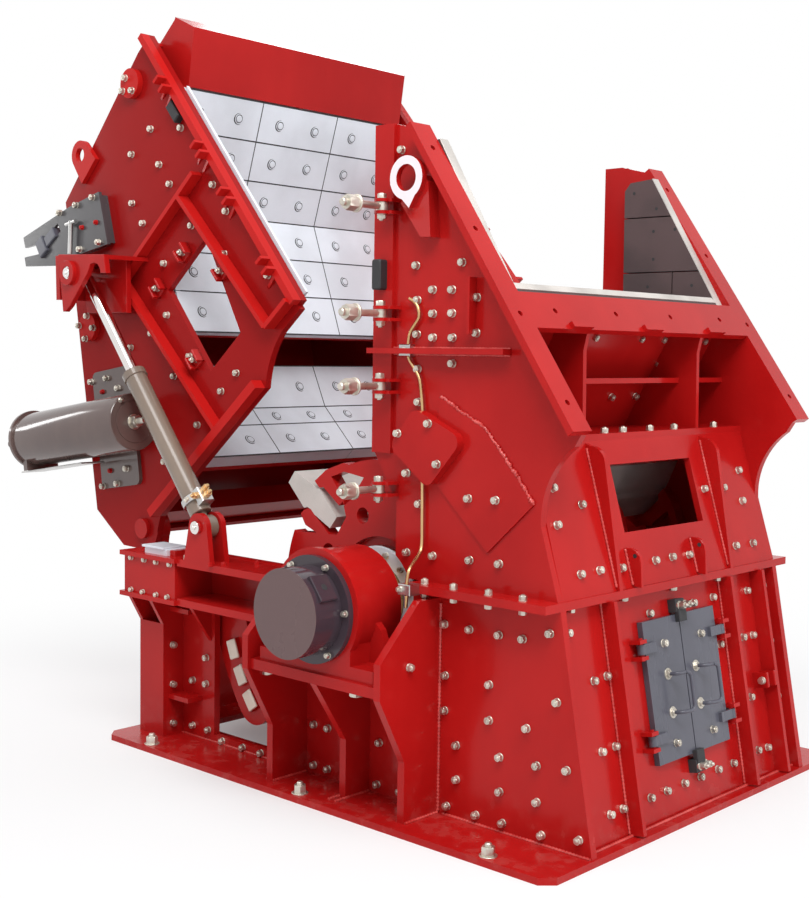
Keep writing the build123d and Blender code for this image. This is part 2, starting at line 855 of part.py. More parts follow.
# Hinge lugs behind the rear wall, with the pins that the tilting housing turns on
hinge_lug_t = 50
hinge_lug_y = inner_wall - 6
with BuildPart() as hinge_lugs:
    with BuildSketch(upright(-hinge_lug_y + hinge_lug_t)):
        with Locations((hinge_x, hinge_z)):
            Circle(80)
        with BuildLine():
            Polyline(
                (hinge_x - 60, hinge_z),
                (rear_wall_x - 120, 620),
                (rear_wall_x, 380),
                (rear_wall_x, 620),
                (hinge_x + 78, hinge_z),
                close=True,
            )
        make_face()
    extrude(amount=hinge_lug_t)
    with BuildSketch(upright(-hinge_lug_y + hinge_lug_t / 2)):
        with Locations((hinge_x, hinge_z)):
            Circle(hinge_pin_d / 2)
    extrude(amount=half_wall + 20 - hinge_lug_y + hinge_lug_t / 2)
    mirror(about=Plane.XZ)
finish(hinge_lugs.part, "hinge_lugs")

# Outrigger boxes at the rear corners, with the pads that the shut housing rests on
with BuildPart() as outrigger_boxes:
    box_mid_x = (box_rear_x + box_front_x) / 2
    box_length = box_front_x - box_rear_x
    with Locations((box_mid_x, -(box_y + half_wall) / 2, (box_low_z + box_top_z) / 2)):
        Box(box_length - 30, box_y - half_wall, box_top_z - box_low_z - 40)
    for plate_z in (box_low_z + 10, box_top_z - 10):
        with Locations((box_mid_x, -(box_y + half_wall) / 2 - 8, plate_z)):
            Box(box_length, box_y - half_wall + 16, 20)
    with Locations((box_mid_x + 60, -half_wall - 100, box_top_z + 12)):
        Box(150, 130, 24)
    mirror(about=Plane.XZ)
finish(outrigger_boxes.part, "outrigger_boxes")

# Cylinder feet: two plates from the box to the pedestal and a clevis with its pin
ear_y = eye_width / 2 + ear_gap
with BuildPart() as cylinder_feet:
    foot_run = rotor_x - pedestal_pitch - pedestal_rib / 2 - box_front_x
    for plate_z in (box_low_z + 15, box_top_z - 15):
        with Locations((box_front_x + foot_run / 2, -(box_y + half_wall) / 2, plate_z)):
            Box(foot_run, box_y - half_wall, 30)
    for side in (-1, 1):
        near_face = cylinder_y + side * (ear_y + ear_t / 2) - ear_t / 2
        with BuildSketch(upright(-near_face)):
            with Locations((foot_pin_x, foot_pin_z)):
                Circle(58)
            with BuildLine():
                Polyline(
                    (foot_pin_x - 58, foot_pin_z),
                    (foot_pin_x - 90, box_top_z),
                    (foot_pin_x + 80, box_top_z),
                    (foot_pin_x + 58, foot_pin_z),
                    close=True,
                )
            make_face()
        extrude(amount=ear_t)
    with BuildSketch(upright(-cylinder_y + ear_y + ear_t + 8)):
        with Locations((foot_pin_x, foot_pin_z)):
            Circle(cylinder_pin_d / 2)
    extrude(amount=2 * (ear_y + ear_t + 8))
    mirror(about=Plane.XZ)
finish(cylinder_feet.part, "cylinder_feet")

# Tilting side plates with sealing flange, parting flange, ribs and side window
seal_x = upper_rear_x - seal_gap
parting_z = mid_height + parting_gap
tilt_inner_y = half_wall - tilt_plate
tilt_ring_centre = (-517, 2493)
tilt_ring_radius = 66
tilt_discs = ((-986, 1850), (-42, 2457))
tilt_disc_d = 130
tilt_disc_t = 28
with BuildPart() as tilt_sides:
    with BuildSketch(leaning(-tilt_inner_y)):
        with BuildLine():
            Polyline(
                (seal_x - seal_t, tilt_top_z),
                (roof_front_x, tilt_top_z),
                (roof_rear_x, roof_rear_z),
                (back_x, back_z),
                (heel_x, heel_z),
                (toe_x, 930),
                (hinge_x - 75, hinge_z - 62),
            )
            ThreePointArc(
                (hinge_x - 75, hinge_z - 62),
                (hinge_x, hinge_z - 97),
                (hinge_x + 75, hinge_z - 62),
            )
            Polyline(
                (hinge_x + 75, hinge_z - 62),
                (hinge_x + 130, parting_z),
                (hub_notch_x - 160, parting_z),
            )
            ThreePointArc(
                (hub_notch_x - 160, parting_z),
                (hub_notch_x - 70, hub_notch_z - 15),
                (hub_notch_x + 60, hub_notch_z + 30),
            )
            Polyline(
                (hub_notch_x + 60, hub_notch_z + 30),
                (seal_x - seal_t, hub_notch_z + 30),
                (seal_x - seal_t, tilt_top_z),
            )
        make_face()
        with BuildLine():
            Polyline(
                (-446, side_window_low_z),
                (-446, side_window_high_z),
                (-107, side_window_high_z),
                (-195, side_window_low_z),
                close=True,
            )
        make_face(mode=Mode.SUBTRACT)
        with Locations((hinge_x, hinge_z)):
            Circle(hinge_pin_d / 2 + hinge_clearance, mode=Mode.SUBTRACT)
    extrude(amount=tilt_plate)
    with BuildSketch(leaning(-tilt_inner_y)):
        with Locations((seal_x - seal_t / 2, (hub_notch_z + 50 + tilt_top_z) / 2)):
            Rectangle(seal_t, tilt_top_z - hub_notch_z - 50)
    extrude(amount=seal_reach - tilt_inner_y)
    for bolt_z in swing_z:
        for side in (-1, 1):
            lug_z = bolt_z + side * (clamp_gap + clamp_lug_t / 2)
            start = leaning(0).from_local_coords(Vector(0, lug_z - clamp_lug_t / 2, 0))
            with BuildSketch(Plane(origin=start, x_dir=leaning(0).x_dir, z_dir=leaning(0).y_dir)):
                Polygon(
                    (seal_x, -half_wall),
                    (seal_x, -clamp_lug_y),
                    (seal_x - clamp_lug_depth, -clamp_lug_y),
                    (seal_x - clamp_lug_depth, -half_wall - 20),
                    (seal_x - clamp_lug_depth - 80, -half_wall),
                    align=None,
                )
            extrude(amount=clamp_lug_t)
    with BuildSketch(leaning(-half_wall)):
        with BuildLine():
            Polyline(
                (hinge_x + 130, parting_z),
                (hub_notch_x - 160, parting_z),
                (hub_notch_x - 160, parting_z + 40),
                (hinge_x + 130, parting_z + 40),
                close=True,
            )
        make_face()
        with Locations(((-638 + 40) / 2, 1822)):
            Rectangle(638 + 40, rib_plate)
        with BuildLine():
            Polyline((-648, 1822), (-628, 1822), (-527, parting_z + 30), (-547, parting_z + 30), close=True)
        make_face()
        with BuildLine():
            Polyline((-106, 1822), (-86, 1822), (-16, 1030), (-36, 1030), close=True)
        make_face()
        with Locations(((-26 + seal_x - seal_t) / 2, 1030)):
            Rectangle(seal_x - seal_t + 26, rib_plate)
    extrude(amount=tilt_rib_height)
    with BuildSketch(leaning(-half_wall)):
        with Locations(tilt_ring_centre):
            Circle(tilt_ring_radius)
        Polygon(
            (tilt_ring_centre[0] - 75, tilt_ring_centre[1] - 110),
            (tilt_ring_centre[0] - tilt_ring_radius, tilt_ring_centre[1]),
            (tilt_ring_centre[0] + tilt_ring_radius, tilt_ring_centre[1]),
            (tilt_ring_centre[0] + 75, tilt_ring_centre[1] - 100),
            align=None,
        )
        with Locations(tilt_ring_centre):
            Circle(tilt_ring_radius / 2, mode=Mode.SUBTRACT)
    extrude(amount=ring_t)
    for disc_place in tilt_discs:
        with BuildSketch(leaning(-half_wall)):
            with Locations(disc_place):
                Circle(tilt_disc_d / 2)
        extrude(amount=tilt_disc_t)
    mirror(about=Plane.XZ)
finish(tilt_sides.part, "tilt_sides")

# Roof and back of the tilting housing, one folded skin between the side plates
with BuildPart() as tilt_skin:
    with BuildSketch(leaning(tilt_inner_y)):
        with BuildLine() as skin_line:
            Polyline(
                (seal_x - seal_t, tilt_top_z),
                (roof_front_x, tilt_top_z),
                (roof_rear_x, roof_rear_z),
                (back_x, back_z),
                (heel_x, heel_z),
                (toe_x - 15, 985),
            )
            offset(amount=roof_plate, side=Side.LEFT, kind=Kind.INTERSECTION)
        make_face()
    extrude(amount=2 * tilt_inner_y)
finish(tilt_skin.part, "tilt_skin")

# Cross beams that tie the tilting side plates together
with BuildPart() as tilt_beams:
    with BuildSketch(leaning(tilt_inner_y)):
        for beam_x, beam_z, beam_w, beam_h in (
            (-1370, 1060, 100, 100),
            (-900, 1990, 90, 90),
            (-640, 2330, 90, 90),
        ):
            with Locations((beam_x, beam_z)):
                Rectangle(beam_w, beam_h)
    extrude(amount=2 * tilt_inner_y)
finish(tilt_beams.part, "tilt_beams")

# Aprons: each limb of the bent line carries three rows of plates in three columns
apron_half = tilt_inner_y - inner_gap
apron_top = (apron_top_x, apron_top_z)
apron_knee = (apron_knee_x, apron_knee_z)
apron_end = (apron_end_x, apron_end_z)
lower_top_corner = (lower_apron_top_x, lower_apron_top_z)
lower_knee = (lower_apron_knee_x, lower_apron_knee_z)
lower_end = (lower_apron_end_x, lower_apron_end_z)
knee_angle = (slope(apron_knee, apron_top) + slope(apron_end, apron_knee)) / 2
lower_knee_angle = (slope(lower_knee, lower_top_corner) + slope(lower_end, lower_knee)) / 2
upper_joints = (
    (between(apron_top, apron_knee, 1 / 3), slope(apron_knee, apron_top)),
    (between(apron_top, apron_knee, 2 / 3), slope(apron_knee, apron_top)),
    (apron_knee, knee_angle),
    (between(apron_knee, apron_end, 1 / 3), slope(apron_end, apron_knee)),
    (between(apron_knee, apron_end, 2 / 3), slope(apron_end, apron_knee)),
)
lower_joints = (
    (lower_knee, lower_knee_angle),
    (between(lower_knee, lower_end, 0.37), slope(lower_end, lower_knee)),
)
with BuildPart() as upper_apron:
    with BuildSketch(leaning(apron_half)):
        with BuildLine():
            Polyline(apron_top, apron_knee, apron_end)
            offset(amount=apron_plate_t, side=Side.RIGHT, kind=Kind.INTERSECTION)
        make_face()
        for place, angle in upper_joints:
            with Locations(Location(place, angle)):
                Rectangle(plate_joint, 4 * apron_plate_t, mode=Mode.SUBTRACT)
    extrude(amount=2 * apron_half)
    with Locations(leaning(0)):
        with Locations((0, 0, apron_half / apron_columns), (0, 0, -apron_half / apron_columns)):
            Box(20 * housing_width, 20 * housing_width, plate_joint, mode=Mode.SUBTRACT)
finish(upper_apron.part, "upper_apron")

with BuildPart() as lower_apron:
    with BuildSketch(leaning(apron_half)):
        with BuildLine():
            Polyline(lower_top_corner, lower_knee, lower_end)
            offset(amount=lower_plate_t, side=Side.RIGHT, kind=Kind.INTERSECTION)
        make_face()
        for place, angle in lower_joints:
            with Locations(Location(place, angle)):
                Rectangle(plate_joint, 4 * lower_plate_t, mode=Mode.SUBTRACT)
    extrude(amount=2 * apron_half)
    with Locations(leaning(0)):
        with Locations((0, 0, apron_half / apron_columns), (0, 0, -apron_half / apron_columns)):
            Box(20 * housing_width, 20 * housing_width, plate_joint, mode=Mode.SUBTRACT)
finish(lower_apron.part, "lower_apron")

# Flared lip at the mouth of the tilting housing, closed by a plate at each end
lip_half = inner_wall - liner_t - 8
lip_foot = (150, 2252)
lip_bend = (340, 2418)
lip_head = (280, 2550)
with BuildPart() as tilt_lip:
    with BuildSketch(leaning(lip_half)):
        with BuildLine():
            Polyline(lip_foot, lip_bend, lip_head)
            offset(amount=20, side=Side.LEFT, kind=Kind.INTERSECTION)
        make_face()
    extrude(amount=2 * lip_half)
    for gusset_y in (-lip_half + rib_plate, rib_plate / 2, lip_half):
        with BuildSketch(leaning(gusset_y)):
            Polygon(
                (lip_foot[0] - 60, lip_foot[1] + 10),
                lip_foot,
                (lip_bend[0] - 15, lip_bend[1]),
                (lip_head[0] - 10, lip_head[1] - 5),
                (lip_foot[0] - 60, lip_head[1] - 5),
                align=None,
            )
        extrude(amount=rib_plate)
    add(tilt_skin.part, mode=Mode.SUBTRACT)
    add(upper_apron.part, mode=Mode.SUBTRACT)
finish(tilt_lip.part, "tilt_lip")

# Apron carriers behind the plates, their hanger plates, and the shafts between the side plates
hanger_pitch = 2 * apron_half / 4.4
with BuildPart() as apron_hangers:
    with BuildSketch(leaning(apron_half)):
        with BuildLine():
            Polyline(apron_top, apron_knee, apron_end)
            offset(amount=apron_plate_t + apron_back_t, side=Side.RIGHT, kind=Kind.INTERSECTION)
        make_face()
    extrude(amount=2 * apron_half)
    with BuildSketch(leaning(apron_half)):
        with BuildLine():
            Polyline(lower_top_corner, lower_knee, lower_end)
            offset(amount=lower_plate_t + apron_back_t, side=Side.RIGHT, kind=Kind.INTERSECTION)
        make_face()
    extrude(amount=2 * apron_half)
    for step in (-1.5, -0.5, 0.5, 1.5):
        with BuildSketch(leaning(step * hanger_pitch + 15)):
            Polygon(
                (apron_top_x - 87, apron_top_z - 44),
                apron_knee,
                (apron_end_x + 31, apron_end_z + 137),
                (apron_end_x - 109, apron_end_z + 217),
                (apron_knee_x - 209, apron_knee_z + 86),
                (apron_top_x - 207, apron_top_z + 86),
                align=None,
            )
            Polygon(
                lower_top_corner,
                lower_knee,
                (lower_apron_end_x - 12, lower_apron_end_z + 60),
                (lower_apron_end_x - 172, lower_apron_end_z + 120),
                (lower_apron_knee_x - 147, lower_apron_knee_z + 79),
                (lower_apron_top_x - 130, lower_apron_top_z),
                align=None,
            )
        extrude(amount=30)
    for shaft_x, shaft_z in ((-110, 2290), (-520, 1700), (-880, 1330)):
        with BuildSketch(leaning(tilt_inner_y)):
            with Locations((shaft_x, shaft_z)):
                Circle(45)
        extrude(amount=2 * tilt_inner_y)
    with BuildSketch(leaning(apron_half)):
        with BuildLine():
            Polyline(apron_top, apron_knee, apron_end)
            offset(amount=apron_plate_t, side=Side.RIGHT, kind=Kind.INTERSECTION)
        make_face()
    extrude(amount=2 * apron_half, mode=Mode.SUBTRACT)
    with BuildSketch(leaning(apron_half)):
        with BuildLine():
            Polyline(lower_top_corner, lower_knee, lower_end)
            offset(amount=lower_plate_t, side=Side.RIGHT, kind=Kind.INTERSECTION)
        make_face()
    extrude(amount=2 * apron_half, mode=Mode.SUBTRACT)
    add(tilt_lip.part, mode=Mode.SUBTRACT)
finish(apron_hangers.part, "apron_hangers")

# Pale wear strips along the front edges of the tilting side plates, inside
strip_t = 14
strip_out = 12
with BuildPart() as seal_strips:
    with BuildSketch(leaning(-tilt_inner_y + 6 + strip_t)):
        Polygon(
            (seal_x + strip_out, 2215),
            (seal_x + strip_out, 1040),
            (seal_x - 60, 1040),
            (seal_x - 60, 2160),
            align=None,
        )
    extrude(amount=strip_t)
    for pad_z in (1150, 1600, 2050):
        with BuildSketch(leaning(-tilt_inner_y + 6)):
            with Locations((seal_x - 45, pad_z)):
                Rectangle(30, 60)
        extrude(amount=6)
    mirror(about=Plane.XZ)
finish(seal_strips.part, "seal_strips")

# Spring cans of the lower apron: a lathed can on a base plate outside each tilting side plate
can_front = (-886, 1218)
can_angle = 148.4
can_length = 690
can_radius = 100
can_rod_length = 95
can_y = half_wall + 120
can_base_along = 278
can_profile = (
    (0, 0),
    (can_radius + 12, 0),
    (can_radius + 12, 18),
    (can_radius, 18),
    (can_radius, can_length - 80),
    (can_radius + 9, can_length - 80),
    (can_radius + 9, can_length - 52),
    (can_radius - 6, can_length - 52),
    (can_radius - 60, can_length),
    (18, can_length),
    (18, can_length + can_rod_length),
    (0, can_length + can_rod_length),
)
can_plane = leaning(-can_y)
can_dir = can_plane.x_dir * cos(radians(can_angle)) + can_plane.y_dir * sin(radians(can_angle))
can_start = can_plane.from_local_coords(Vector(*can_front))
can_base = between(can_front, (can_front[0] + 1000 * cos(radians(can_angle)),
                               can_front[1] + 1000 * sin(radians(can_angle))), can_base_along / 1000)
with BuildPart() as spring_cans:
    with BuildSketch(Plane(origin=can_start, x_dir=(0, 1, 0), z_dir=Vector(0, 1, 0).cross(can_dir))):
        Polygon(*can_profile, align=None)
    revolve(axis=Axis(can_start, can_dir))
    with BuildSketch(leaning(-half_wall)):
        with Locations(Location(can_base, can_angle)):
            RectangleRounded(290, 540, 30)
    extrude(amount=18)
    with BuildSketch(leaning(-half_wall)):
        with Locations(Location(can_base, can_angle)):
            Rectangle(230, 1.6 * can_radius)
    extrude(amount=can_y - half_wall - 0.6 * can_radius)
    mirror(about=Plane.XZ)
finish(spring_cans.part, "spring_cans")

# Forked brackets of the upper apron's screws: a body on the wall and a slotted cover plate
fork_plate_t = 16
fork_depth = 50
fork_corner = (-597, 2007)
fork_plate = (
    (-709, 2344),
    (-495, 2234),
    fork_corner,
    (-789, 2122),
    (-956, 2202),
    (-1162, 2384),
    (-1142, 2424),
    (-1041, 2353),
    (-1009, 2389),
    (-1108, 2455),
    (-1088, 2504),
)
with BuildPart() as screw_brackets:
    with BuildSketch(leaning(-half_wall)):
        Polygon((-760, 2330), (-505, 2225), (-600, 2020), (-780, 2120), align=None)
    extrude(amount=fork_depth - fork_plate_t)
    with BuildSketch(leaning(-half_wall - fork_depth + fork_plate_t)):
        Polygon(*fork_plate, align=None)
        with Locations(Location((-925, 2342), slope((-1001, 2365), (-847, 2312)) + 12)):
            Rectangle(190, 46, mode=Mode.SUBTRACT)
    extrude(amount=fork_plate_t)
    mirror(about=Plane.XZ)
finish(screw_brackets.part, "screw_brackets")

# Box brackets that the rods' heads pull on
bracket_outline = (
    (head_pin_x - 85, head_pin_z - 170),
    (head_pin_x + 220, head_pin_z - 173),
    (head_pin_x + 215, head_pin_z + 75),
    (head_pin_x - 135, head_pin_z + 89),
)
with BuildPart() as head_brackets:
    for inner_y in (cylinder_y - bracket_half - ear_t, cylinder_y + bracket_half):
        with BuildSketch(upright(-inner_y)):
            Polygon(*bracket_outline, align=None)
            with Locations((head_pin_x + pin_drift_x / 2, head_pin_z + pin_drift_z / 2)):
                Circle(cylinder_pin_d / 2 + pin_drift_x / 2 + pin_slack, mode=Mode.SUBTRACT)
        extrude(amount=ear_t)
    tie_reach = cylinder_y + bracket_half - half_wall
    for tie_x, tie_z, tie_w, tie_h in ((-120, -55, 30, 130), (25, 75, 170, 20)):
        with Locations((head_pin_x + tie_x, -half_wall - tie_reach / 2, head_pin_z + tie_z)):
            Box(tie_w, tie_reach, tie_h)
    mirror(about=Plane.XZ)
finish(head_brackets.part, "head_brackets")

# Cylinder barrels and rods
reach_x = head_pin_x - foot_pin_x
reach_z = head_pin_z - foot_pin_z
reach = hypot(reach_x, reach_z)
reach_dir = (reach_x / reach, 0, reach_z / reach)
for side, word in ((-1, "near"), (1, "far")):
    axis_y = side * cylinder_y
    foot = Plane(origin=(foot_pin_x, axis_y, foot_pin_z), x_dir=(0, 1, 0), z_dir=reach_dir)
    with BuildPart() as barrel:
        with BuildSketch(upright(axis_y + eye_width / 2)):
            with Locations((foot_pin_x, foot_pin_z)):
                Circle(eye_d / 2)
        extrude(amount=eye_width)
        with BuildSketch(foot.offset(60)):
            Circle(barrel_d / 2)
        extrude(amount=barrel_length - 60)
        with BuildSketch(foot):
            Circle(22)
        extrude(amount=70)
        with BuildSketch(foot.offset(130)):
            Circle(barrel_bore_d / 2)
        extrude(amount=barrel_length - 130 - 40, mode=Mode.SUBTRACT)
        with BuildSketch(foot.offset(barrel_length - 50)):
            Circle(rod_d / 2 + hinge_clearance)
        extrude(amount=60, mode=Mode.SUBTRACT)
        with BuildSketch(upright(axis_y + eye_width)):
            with Locations((foot_pin_x, foot_pin_z)):
                Circle(cylinder_pin_d / 2 + hinge_clearance)
        extrude(amount=2 * eye_width, mode=Mode.SUBTRACT)
    finish(barrel.part, f"cylinder_barrel_{word}")
    rod_length = 780
    head = foot.offset(reach)
    with BuildPart() as rod:
        with BuildSketch(head):
            Circle(rod_d / 2)
        extrude(amount=-rod_length)
        with BuildSketch(upright(axis_y + eye_width / 2)):
            with Locations((head_pin_x, head_pin_z)):
                Circle(eye_d / 2 - 8)
        extrude(amount=eye_width)
        with BuildSketch(upright(axis_y + bracket_half - 2)):
            with Locations((head_pin_x, head_pin_z)):
                Circle(cylinder_pin_d / 2 + 9)
        extrude(amount=2 * (bracket_half - 2))
        with BuildSketch(upright(axis_y + bracket_half + ear_t + 14)):
            with Locations((head_pin_x, head_pin_z)):
                Circle(cylinder_pin_d / 2)
        extrude(amount=2 * (bracket_half + ear_t + 14))
        with BuildSketch(upright(side * (cylinder_y + bracket_half + ear_t + 8) + 6)):
            with Locations((head_pin_x, head_pin_z)):
                Circle(cylinder_pin_d / 2 + 26)
        extrude(amount=12)
        with BuildSketch(head.offset(-rod_length)):
            Circle(barrel_bore_d / 2 - hinge_clearance)
        extrude(amount=50)
    finish(rod.part, f"cylinder_rod_{word}")

# Access doors with hinge arms, and the lugs and pins that they turn on
door_pin_y = door_width / 2 + 30
hinge_up = (door_up - 165, door_up + 165)
with BuildPart() as door_hinges:
    for side in (-1, 1):
        for up in hinge_up:
            for lug in (-1, 1):
                with BuildSketch(wall_face):
                    with Locations((side * (door_pin_y + 12), up + lug * 30)):
                        Rectangle(44, 14)
                extrude(amount=door_hinge_out + 22)
            pin_start = wall_face.offset(door_hinge_out).from_local_coords(
                Vector(side * door_pin_y, up - 42)
            )
            with BuildSketch(Plane(origin=pin_start, x_dir=(0, 1, 0), z_dir=wall_face.y_dir)):
                Circle(door_pin_d / 2)
            extrude(amount=84)
finish(door_hinges.part, "door_hinges")
for side, word in ((-1, "near"), (1, "far")):
    with BuildPart() as leaf:
        with BuildSketch(wall_face.offset(1)):
            with Locations((side * (door_width + door_gap) / 4, door_up)):
                Rectangle(door_width / 2 - door_gap / 2, door_height)
        extrude(amount=door_plate)
        for up in hinge_up:
            eye_start = wall_face.offset(door_hinge_out).from_local_coords(
                Vector(side * door_pin_y, up - 18)
            )
            with BuildSketch(Plane(origin=eye_start, x_dir=(0, 1, 0), z_dir=wall_face.y_dir)):
                Circle(16)
                with Locations((-side * 45, door_hinge_out - 1 - door_plate - 7)):
                    Rectangle(90, 14)
                Circle(door_pin_d / 2 + 0.3, mode=Mode.SUBTRACT)
            extrude(amount=36)
    finish(leaf.part, f"door_{word}")

# Swing bolts, swung out sideways while the housing stands open
for side, word in ((-1, "near"), (1, "far")):
    for number, bolt_z in enumerate(swing_z, start=1):
        with BuildPart() as swing_bolt:
            with BuildSketch(Plane.XY.offset(bolt_z - swing_eye_t / 2)):
                with Locations((swing_pin_x, side * swing_y)):
                    Circle(swing_eye_d / 2)
            extrude(amount=swing_eye_t)
            shank = Plane(origin=(swing_pin_x, side * swing_y, bolt_z), x_dir=(1, 0, 0), z_dir=(0, side, 0))
            with BuildSketch(shank):
                Circle(swing_bolt_d / 2)
            extrude(amount=swing_bolt_length)
            with BuildSketch(shank.offset(swing_bolt_length - 25 - swing_nut_t)):
                RegularPolygon(swing_nut_d / 2, 6)
            extrude(amount=swing_nut_t)
            with Locations((swing_pin_x, side * swing_y, bolt_z)):
                Cylinder(swing_pin_d / 2, 2 * (swing_lug_t + swing_eye_t / 2 + 6))
        finish(swing_bolt.part, f"swing_bolt_{word}_{number}")
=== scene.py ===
# %% [markdown]
# # Dressing an impact crusher
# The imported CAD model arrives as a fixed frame, in metres. This lesson gives its nodes their
# finishes and adds what a CAD model leaves out, such as bolts, plugs, handles and weld seams.

import json
from math import atan2, cos, pi, radians, sin

import bpy
import numpy as np
from mathutils import Matrix


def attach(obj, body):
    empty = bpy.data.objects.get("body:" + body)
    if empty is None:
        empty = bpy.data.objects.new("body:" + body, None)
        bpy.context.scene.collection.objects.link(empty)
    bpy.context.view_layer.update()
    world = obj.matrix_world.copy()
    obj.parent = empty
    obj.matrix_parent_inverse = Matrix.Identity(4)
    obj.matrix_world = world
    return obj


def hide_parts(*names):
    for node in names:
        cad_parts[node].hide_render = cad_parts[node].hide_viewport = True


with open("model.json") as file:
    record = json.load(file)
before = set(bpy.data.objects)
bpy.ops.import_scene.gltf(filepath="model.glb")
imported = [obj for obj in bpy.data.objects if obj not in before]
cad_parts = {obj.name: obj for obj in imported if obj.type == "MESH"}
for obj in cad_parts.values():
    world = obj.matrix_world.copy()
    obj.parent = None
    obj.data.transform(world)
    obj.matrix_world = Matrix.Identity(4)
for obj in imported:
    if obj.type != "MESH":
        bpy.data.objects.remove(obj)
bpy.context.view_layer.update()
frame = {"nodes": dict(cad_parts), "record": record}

# %% [markdown]
# ## The camera
# The view looks over the near front corner, a little downwards. A camera at rest looks down its own
# -Z, so it is first rolled, then raised to the horizon and last turned about the upright axis.

# %% Camera
CAMERA_PLACE = (3.7465, -4.456, 1.7)
CAMERA_HEADING = radians(42.73)
CAMERA_DIP = radians(3.984)
CAMERA_ROLL = radians(0.804)
camera_data = bpy.data.cameras.new("camera")
camera_data.lens = 54.87
camera_data.sensor_width = 36
camera = bpy.data.objects.new("camera", camera_data)
bpy.context.scene.collection.objects.link(camera)
camera.matrix_world = (
    Matrix.Translation(CAMERA_PLACE)
    @ Matrix.Rotation(CAMERA_HEADING, 4, "Z")
    @ Matrix.Rotation(pi / 2 - CAMERA_DIP, 4, "X")
    @ Matrix.Rotation(CAMERA_ROLL, 4, "Z")
)
bpy.context.scene.camera = camera
bpy.context.scene.view_settings.view_transform = "Standard"
print("camera at", CAMERA_PLACE)

# %% [markdown]
# ## Writing shader maths as Python
# A material is a net of nodes. Adding Math nodes by hand hides the formula, so a small class wraps
# one socket and turns + - * into nodes. Every other node comes from one method, which sets the
# node's settings first and then the values or links of its sockets.

# %% A socket that understands arithmetic
class Wire:
    """The value that leaves one socket; arithmetic on it adds Math nodes to its net."""

    def __init__(self, net, socket):
        self.net = net
        self.socket = socket

    def math(self, operation, first, second):
        return self.net.node("ShaderNodeMath", {"operation": operation}, {0: first, 1: second})

    def __add__(self, other):
        return self.math("ADD", self, other)

    def __sub__(self, other):
        return self.math("SUBTRACT", self, other)

    def __rsub__(self, other):
        return self.math("SUBTRACT", other, self)

    def __mul__(self, other):
        return self.math("MULTIPLY", self, other)

    __radd__, __rmul__ = __add__, __mul__


# %% A net of nodes, and a finish, which is the net of one material
RAY_KINDS = ("Camera", "Glossy", "Transmission")
COLOUR_SHARE, COLOUR_A, COLOUR_B, COLOUR_OUT = 0, 6, 7, 2  # sockets of a Mix node for colours


class Net:
    """A node tree whose nodes are added one call at a time."""

    def __init__(self, tree):
        self.tree = tree
        self.tree.nodes.clear()

    def node(self, kind, settings=None, sockets=None, out=0):
        """Add one node: first its settings, then its sockets' values or links."""
        new = self.tree.nodes.new(kind)
        for key, value in (settings or {}).items():
            setattr(new, key, value)
        for key, value in (sockets or {}).items():
            if isinstance(value, Wire):
                self.tree.links.new(value.socket, new.inputs[key])
            else:
                new.inputs[key].default_value = value
        return Wire(self, new.outputs[out])

    def rays(self):
        """Whether a ray comes from the camera, off a glossy surface or through a clear one."""
        outputs = self.tree.nodes.new("ShaderNodeLightPath").outputs
        return [Wire(self, outputs[f"Is {kind} Ray"]) for kind in RAY_KINDS]

    def close(self, kind, surface):
        """End the net with its output node."""
        output = self.tree.nodes.new(kind)
        self.tree.links.new(surface.socket, output.inputs["Surface"])


class Finish(Net):
    """The net of one new material, with the steps that paints and metals share."""

    def __init__(self, name):
        self.material = bpy.data.materials.new(name)
        self.material.use_nodes = True
        super().__init__(self.material.node_tree)
        self.place = self.node("ShaderNodeTexCoord", out="Object")

    def noise(self, scale, detail=4, stretch=(1, 1, 1)):
        """Soft noise from 0 to 1 in metres; stretch draws it out along an axis."""
        place = self.node("ShaderNodeMapping", None, {"Vector": self.place, "Scale": stretch})
        sockets = {"Vector": place, "Scale": scale, "Detail": detail}
        return self.node("ShaderNodeTexNoise", None, sockets)

    def ramp(self, value, low, high):
        """0 below low, 1 above high and a smooth rise between."""
        settings = {"interpolation_type": "SMOOTHSTEP"}
        sockets = {"Value": value, "From Min": low, "From Max": high}
        return self.node("ShaderNodeMapRange", settings, sockets)

    def mix(self, share, first, second):
        """The colour first + share * (second - first)."""
        ends = [end if isinstance(end, Wire) else (*end, 1) for end in (first, second)]
        sockets = {COLOUR_SHARE: share, COLOUR_A: ends[0], COLOUR_B: ends[1]}
        return self.node("ShaderNodeMix", {"data_type": "RGBA"}, sockets, COLOUR_OUT)

    def bump(self, height, strength, distance):
        """A normal that follows a height field, distance in metres."""
        sockets = {"Height": height, "Strength": strength, "Distance": distance}
        return self.node("ShaderNodeBump", None, sockets, out="Normal")

    def surface(self, **sockets):
        """Close the net with one Principled shader; names are written with _ for a space."""
        named = {key.replace("_", " "): value for key, value in sockets.items()}
        shader = self.node("ShaderNodeBsdfPrincipled", None, named)
        self.close("ShaderNodeOutputMaterial", shader)
        return self.material


# %% [markdown]
# ## Gloss paint
# The housing is sprayed with two-pack gloss. Close up it has a faint orange peel, and it isn't one
# flat red: the spray laid it on thicker in places, and shop dust dulls it low down. A clear coat
# over the colour gives the sharp highlight that gloss paint has.

# %% Gloss paint in any colour
DUST = (0.42, 0.3, 0.26)
COAT = {"Coat_Roughness": 0.06, "Coat_IOR": 1.4}
PEEL, PEEL_DEPTH = (260, 2), 0.001


